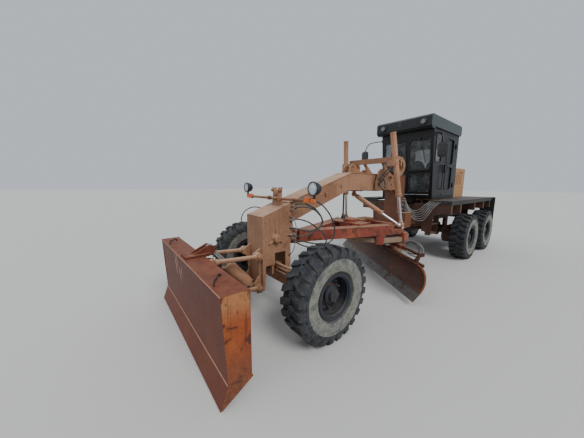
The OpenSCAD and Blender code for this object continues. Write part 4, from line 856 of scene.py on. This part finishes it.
def make_frame_trim():
    weld = Shape()
    for side, _ in SIDES:
        for line in ([(2.9, 1.6), (2.855, 1.27), (2.9, 1.01), (2.9, 0.64)], [(3.38, 1.43), (3.38, 0.4)]):
            points = []
            for (xa, za), (xb, zb) in zip(line, line[1:]):
                steps = max(2, int(hypot(xb - xa, zb - za) / 0.02))
                points += [(xa + (xb - xa) * i / steps, za + (zb - za) * i / steps) for i in range(steps)]
            weld.tube([(x, side * HEAD_WELD_Y, z + rng.uniform(-0.001, 0.001)) for x, z in points], 0.004, 5)
        # Seams of the spine's side plates
        y = side * SPINE_WELD_Y
        for (xa, za), (xb, zb) in (((2.9, 1.3), (1.5, 1.79)), ((1.5, 1.79), (-0.34, 1.79))):
            weld.weld((xa, y, za), (xb, y, zb), 60, 0.005, 5, 0.0012)
        weld.tube([(1.43, y, 2.1), (1.47, y, 1.95), (1.5, y, 1.79)], 0.005, 5)
    weld.make("frame_welds", CHASSIS, ["tan"])
    trim = Shape()
    for side, _ in SIDES:
        out = (0, side, 0)
        for x, z in ((3.45, 0.9), (3.44, 0.45)):
            trim.pin((x, side * 0.257, z), out, 0.034)
            trim.bolt((x, side * 0.268, z), out)
        # Cast boss of the head
        trim.lathe([(0.0, 0.075), (0.012, 0.072), (0.02, 0.056), (0.06, 0.05), (0.064, 0.044), (0.064, 0.018),
                    (0.05, 0.016), (0.05, 0.0)], (BOSS[0], side * 0.2195, BOSS[1]), out, 28)
        for t in turns(6):
            trim.bolt(upright(BOSS[0], side * 0.234, BOSS[1], 0.062, t), out, 0.008)
        # Bolts where the head's cover meets its side
        for x, z in ((3.33, 1.36), (3.33, 1.1), (3.33, 0.85), (2.96, 1.48), (2.95, 1.2)):
            trim.bolt((x, side * 0.22, z), out, 0.01)
        # Rings on the saddle
        trim.lathe([(0.0, 0.045), (0.0, 0.062), (0.014, 0.06), (0.016, 0.045)], (0.17, side * SADDLE_FACE_Y, 2.04),
                   out, 28, ring=True)
        for x, z in ((0.6, 1.85), (0.3, 1.84), (0.06, 1.86), (0.02, 2.04), (0.45, 2.1)):
            trim.bolt((x, side * SADDLE_FACE_Y, z), out)
        # Curved bracket at the end of the saddle's top bar
        trim.plate([(0.54, 2.44), (0.4, 2.425), (0.3, 2.375), (0.25, 2.29), (0.27, 2.19), (0.35, 2.1),
                    (0.43, 2.055), (0.45, 2.095), (0.38, 2.15), (0.335, 2.22), (0.33, 2.29), (0.37, 2.34),
                    (0.44, 2.365), (0.54, 2.37)], *sorted((side * 0.485, side * 0.585)))
        trim.lathe([(0.0, 0.0), (0.0, 0.034), (0.012, 0.032), (0.012, 0.0)], (0.43, side * 0.586, 2.4), out, 20)
        # Clamps along the spine
        for x in (2.5, 2.1, 1.7):
            z = 1.45 + (2.9 - x) * 0.345
            trim.side_box(side, (x - 0.02, 0.165, z - 0.03), (x + 0.02, 0.188, z + 0.03), 0.004)
    # Lugs on the knee's top
    for side, _ in SIDES[::-1]:
        y = side * 0.07
        trim.plate([(1.4, 2.115), (1.4, 2.16), (1.34, 2.25), (1.27, 2.29), (1.19, 2.27), (1.14, 2.2),
                    (1.06, 2.19), (1.02, 2.115)], y - 0.014, y + 0.014)
        trim.bolt((1.27, y + side * 0.014, 2.235), (0, side, 0), 0.016)
    trim.tube([(1.27, -0.08, 2.235), (1.27, 0.08, 2.235)], 0.014, 12)
    # Housing of the swing cylinder's ball, bolted under the spine
    trim.box((0.86, -0.2, 1.762), (1.1, 0.04, 1.784), 0.006)
    for x in (0.885, 1.075):
        for y in (-0.175, 0.015):
            trim.bolt((x, y, 1.763), DOWN)
    trim.make("frame_fittings", CHASSIS, ["tan"])
    rod = Shape()
    rod.lathe([(0, 0.016), (0.46, 0.016)], (1.42, 0, 1.325), UP, 14)
    rod.lathe([(0, 0.03), (0.02, 0.034), (0.022, 0.034)], (1.42, 0, 1.762), UP, 14)
    rod.lathe([(0.0, 0.0), (0.0, 0.044), (0.014, 0.046), (0.03, 0.036), (0.045, 0.04), (0.06, 0.028), (0.08, 0.026),
               (0.1, 0.018)], (1.42, 0, 1.235), UP, 20)
    rod.make("spine_rod", CHASSIS, ["black"])
    # Two pipes along the spine's right side
    pipes = Shape()
    for k in (0, 1):
        line = [(2.86, 1.47 + 0.03 * k)] + [(x, z + 0.02 * k) for x, z in (
            (2.5, 1.588), (1.9, 1.795), (1.48, 1.93), (1.2, 1.955), (0.8, 1.955))]
        pipes.tube(curve_points([(x, -0.176 - 0.014 * k, z) for x, z in line]), 0.006, 8)
    pipes.make("spine_pipes", CHASSIS, ["steel"])


# Dozer blade: end skins, welded creases, scrapes, hooks and pins
def make_dozer_trim():
    skin = Shape()
    for side, _ in SIDES:
        skin.plate([(4.378, 1.006), (4.341, 0.221), (4.413, 0.022), (4.397, 0.022), (4.107, 0.192), (4.122, 0.221),
                    (4.122, 1.006)], *sorted((side * 1.242, side * 1.2432)))
    skin.make("dozer_end_skins", "dozer_plate", ["dozer_end"])
    crease = Shape()
    for x, z, r in ((4.3435, 0.222, 0.006), (4.3795, 1.006, 0.004)):
        crease.weld((x, -1.24, z), (x, 1.24, z), 80, r, 6, 0.0012)
    # Scrapes down the face, where the paint is gone to a light tan. Columns: y, low and high end, half width
    rows = ((-0.34, 0.7, 0.99, 0.03), (-0.25, 0.78, 0.99, 0.018), (-0.17, 0.64, 0.86, 0.024),
            (-0.06, 0.74, 0.9, 0.014))
    for y, low, high, wide in rows:
        strip = []
        for i in range(15):
            z = low + (high - low) * i / 14
            x = 4.3565 + (z - 0.7) * (0.0779 if z > 0.7 else 0.0393)
            half = wide * (0.15 + 0.85 * sin(pi * i / 14)) * rng.uniform(0.4, 1.0)
            mid = y + 0.05 * (z - low) + rng.uniform(-0.006, 0.006)
            strip.append([(x + rise, mid + w * half, z) for rise, w in
                          ((0, -1), (0.0008, -0.9), (0.0008, 0.9), (0, 1))])
        crease.loft(strip)
    crease.make("dozer_crease", "dozer_plate", ["scratch"])
    metal = Shape()
    for side, _ in SIDES:
        y = side * 0.9
        metal.tube(curve_points([(x, y + dy, z) for x, dy, z in (
            (4.2, -0.11, 1.01), (4.215, -0.09, 1.014), (4.235, -0.06, 1.04), (4.262, -0.01, 1.052),
            (4.285, 0.02, 1.044), (4.3, 0.05, 1.04), (4.33, 0.09, 1.052), (4.345, 0.11, 1.012))]), 0.009, 8)
    metal.make("dozer_hooks", "dozer_plate", ["hook"])
    back = Shape()
    for side, _ in SIDES:
        for x, z in ((4.085, 0.945), (4.075, 0.495)):
            back.pin((x, side * 0.257, z), (0, side, 0), 0.032)
            back.bolt((x, side * 0.268, z), (0, side, 0))
        for y in (0.042, 0.068):
            back.tube([(4.06 + 0.05 * i, side * y, 1.03) for i in range(6)], 0.004, 5)
    # Welds where the ribs meet the plate
    for y in (-0.7, -0.165, 0.165, 0.7):
        back.weld((4.16, y, 0.986), (4.32, y, 0.986), 4, 0.004, 5, 0.001)
    back.make("dozer_pins", "dozer_plate", ["axle"])
    slope = (0.635, 0, 0.045)
    for side, word in SIDES:
        link = Shape()
        for x, z in ((3.45, 0.9), (4.085, 0.945)):
            link.lathe([(0.0, 0.024), (0.0, 0.046), (0.003, 0.045), (0.003, 0.026)], (x, side * 0.247, z),
                       (0, side, 0), 28, ring=True)
        link.lathe([(0.03, 0.031), (0.04, 0.036), (0.075, 0.036), (0.085, 0.031)], (3.45, side * 0.217, 0.9),
                   slope, 24)
        link.lathe([(-0.085, 0.031), (-0.075, 0.036), (-0.05, 0.036), (-0.04, 0.031)], (4.085, side * 0.217, 0.945),
                   slope, 24)
        link.make("dozer_link_rings_" + word, "dozer_upper", ["tan"])


# Drawbar and blade: drive housing, bolts, wear marks, the moldboard's knife and rims
CIRCLE_X, PINION_X, DRIVE_TOP_Z = 0.5, 1.2, 1.2035
LIFT_EYE_X, LIFT_EYE_Y, LIFT_EYE_Z = 0.45, 0.69, 1.05
# The moldboard's curve, across and up: ends of its middle line, its radius, and its knife's top and foot
FACE_TOP, FACE_FOOT, FACE_R = (-0.043, 0.68), (-0.11, 0.215), 0.32
KNIFE_TOP, KNIFE_FOOT = Vector((-0.133, 0.255)), Vector((0.007, 0.083))


def make_drawbar_trim():
    shape = Shape()
    # Ribbed housing of the circle's drive
    shape.box((0.52, -0.11, 1.148), (0.95, 0.11, 1.19), 0.012)
    for i in range(6):
        shape.box((0.55 + 0.065 * i, -0.115, 1.185), (0.57 + 0.065 * i, 0.115, 1.198), 0.004)
    for t in turns(8):
        shape.bolt(level(PINION_X, 0, DRIVE_TOP_Z, 0.11, t), UP)
    shape.lathe([(0, 0.085), (0.02, 0.08), (0.03, 0.05), (0.045, 0.04), (0.048, 0.0)], (PINION_X, 0, DRIVE_TOP_Z),
                UP, 28)
    for x in (1.03, 1.18, 1.33):
        for y in (-0.32, 0.32):
            shape.bolt((x, y, 1.154), UP)
    shape.make("drive_housing", "draw_frame", ["axle"])
    seats = Shape()
    for side, _ in SIDES:
        eye_y = side * LIFT_EYE_Y
        seats.lathe([(-0.001, 0.06), (0.003, 0.06), (0.004, 0.045), (0.004, 0.036)], (LIFT_EYE_X, eye_y, 0.986), UP,
                    28,
                    ring=True)
        for t in turns(4, 0.5):
            seats.bolt(level(LIFT_EYE_X, eye_y, 0.9885, 0.05, t), UP, 0.008)
        # Bolts of the guide shoes
        for a in (43, 51, 86, 94):
            x, y, z = level(CIRCLE_X, 0, 0.775, 0.8, radians(a))
            seats.bolt((x, side * y, z), DOWN)
        # Weld along the beam's top flange
        seats.weld((2.52, side * 0.092, 1.1305), (0.66, side * 0.735, 1.1305), 40, 0.005, 6, 0.001)
    seats.make("drawbar_fittings", "draw_frame", ["ring"])
    ring = Shape()
    # Wear bumps round the top of the circle's rim
    for t in turns(90):
        mid = Vector(level(CIRCLE_X, 0, 0.8805, 0.772, t))
        ring.box(mid - Vector((0.011, 0.011, 0.001)), mid + Vector((0.011, 0.011, 0.0035)), 0.002,
                 Matrix.Rotation(t, 3, "Z"), mid)
    ring.make("circle_wear_marks", "circle_turner", ["ring"])
    knife = Shape()
    ahead = (KNIFE_FOOT - KNIFE_TOP).normalized()
    out = Vector((-ahead[1], ahead[0]))
    section = [KNIFE_TOP + ahead * along + out * off for along, off in
               ((0.055, 0.0), (0.055, 0.01), (0.216, 0.01), (0.2205, 0.002))]
    bolts = 6
    for low, high in ((-1.805, -0.925), (-0.915, -0.065), (-0.055, 0.785), (0.795, 1.685)):
        knife.loft([[in_blade(v.x, y, v.y) for v in section] for y in (low, high)])
        for i in range(bolts):
            y = low + (high - low) * (i + 0.5) / bolts
            for along in (0.085, 0.15):
                v = KNIFE_TOP + ahead * along + out * 0.01
                tip = v + out
                here, there = Vector(in_blade(v.x, y, v.y)), Vector(in_blade(tip.x, y, tip.y))
                knife.lathe([(0, 0.016), (0.004, 0.015), (0.006, 0.008), (0.006, 0.0)], here, there - here, 14)
    knife.make("moldboard_knife", "blade", ["knife"])
    edge = Shape()
    # Worn, rusty rims at the moldboard's ends
    (top_x, top_z), (foot_x, foot_z) = FACE_TOP, FACE_FOOT
    chord = Vector((top_x - foot_x, top_z - foot_z))
    side_way = Vector((chord[1], -chord[0])).normalized()
    middle = Vector(((top_x + foot_x) / 2, (top_z + foot_z) / 2))
    center = middle + side_way * sqrt(FACE_R ** 2 - (chord.length / 2) ** 2)
    start = atan2(top_z - center[1], top_x - center[0])
    end = atan2(foot_z - center[1], foot_x - center[0]) + 2 * pi
    for y in (-1.806, 1.686):
        rings = []
        for i in range(19):
            a = start + (end - start) * i / 18
            rings.append([in_blade(center[0] + r * cos(a), y + dy, center[1] + r * sin(a))
                          for r, dy in ((0.3185, -0.0045), (0.3185, 0.0045), (0.326, 0.0045), (0.326, -0.0045))])
        edge.loft(rings)
    edge.make("moldboard_rims", "blade", ["rust_edge"])


# Cylinders: gland rings and end caps on the barrels, collars over the lift rods' balls
def make_cylinder_trim():
    # Columns: name, barrel's body, start, end, place of the gland, radius of barrel and rod, place of the cap
    rows = [("swing", "swing_tube", (0.97, -0.1, 1.7), (0.63, 0.72, 1.122), 0.69, 0.048, 0.0262, None),
            ("dozer", "dozer_tube", (3.445, 0, 0.4), (4.04, 0, 1.07), 0.56, 0.082, 0.0372, None)]
    for side, word in SIDES:
        rows.append(("lift_" + word, "lift_tube_" + word, (0.65, side * 0.59, 2.3),
                     (LIFT_EYE_X, side * LIFT_EYE_Y, LIFT_EYE_Z), 0.64, 0.052, 0.0292, -0.56))
    for name, body, start, end, g, r, rod, cap in rows:
        shape = Shape()
        axis = Vector(end) - Vector(start)
        shape.lathe([(g - 0.052, r + 0.0002), (g - 0.046, r + 0.007), (g - 0.01, r + 0.007), (g + 0.003, r),
                     (g + 0.003, rod), (g + 0.0002, rod), (g + 0.0002, r + 0.0002)], start, axis, 32, ring=True)
        for i in range(4):
            at = g - 0.04 + 0.009 * i
            shape.lathe([(at, r + 0.007), (at + 0.003, r + 0.0085), (at + 0.006, r + 0.007)], start, axis, 24)
        if cap:
            shape.lathe([(cap - 0.008, 0.0), (cap - 0.008, r - 0.006), (cap, r + 0.003), (cap + 0.022, r + 0.003),
                         (cap + 0.026, r)], start, axis, 32)
        shape.make(name + "_cylinder_rings", body, ["tan_cylinder"])
    for side, word in SIDES:
        eye = Vector((LIFT_EYE_X, side * LIFT_EYE_Y, LIFT_EYE_Z))
        up = Vector((0.2, -side * 0.1, 1.25)).normalized()
        collar = Shape()
        collar.lathe([(0.01, 0.0), (0.01, 0.0505), (0.06, 0.0515), (0.062, 0.06), (0.073, 0.06), (0.076, 0.052),
                      (0.085, 0.044), (0.13, 0.041), (0.134, 0.03)], eye, up, 32)
        side_way = up.orthogonal().normalized()
        for t in turns(4, 0.5):
            collar.bolt(eye + up * 0.0725 + (Matrix.Rotation(t, 3, up) @ side_way) * 0.053, up, 0.005)
        collar.make("lift_collar_" + word, "lift_stick_" + word, ["tan_cylinder"])


# Rear: tandem cases' bolts, hood fittings, blank plate and tail lights
def make_rear_trim():
    shape = Shape()
    for side, _ in SIDES:
        out = (0, side, 0)
        # Bolts of the tandem covers
        for x in (-2.24, -3.0, -3.76):
            for t in turns(10):
                shape.bolt(upright(x, side * 0.7902, WHEEL_Z, 0.17, t), out, 0.01)
        # Hood hinges and seams
        for x in (-2.75, -3.3, -3.85):
            shape.side_box(side, (x - 0.05, 0.38, 2.28), (x + 0.05, 0.3865, 2.33), 0.002)
            for dx in (-0.03, 0.03):
                shape.bolt((x + dx, side * 0.386, 2.305), out, 0.006)
        for z in (2.26, 1.84):
            shape.side_box(side, (-4.155, 0.38, z), (-2.565, 0.382, z + 0.006), 0.0008)
    for x in (-2.7, -3.1, -3.5, -3.9):
        shape.box((x - 0.006, -0.375, 2.4195), (x + 0.006, 0.375, 2.4235), 0.001)
    shape.make("rear_fittings", CHASSIS, ["under"])
    plate = Shape()
    plate.box((-4.311, -0.26, 1.1), (-4.3055, 0.26, 1.21), 0.002)
    plate.make("blank_plate", CHASSIS, ["plate"])
    tail = Shape()
    for side, _ in SIDES:
        tail.side_box(side, (-4.325, 0.4, 1.2), (-4.3055, 0.5, 1.3), 0.008)
    tail.make("tail_lights", CHASSIS, ["red_lens"])


make_lamps()
make_mirrors()
make_interior()
make_cab_trim()
make_frame_trim()
make_dozer_trim()
make_drawbar_trim()
make_cylinder_trim()
make_rear_trim()
make_stage()
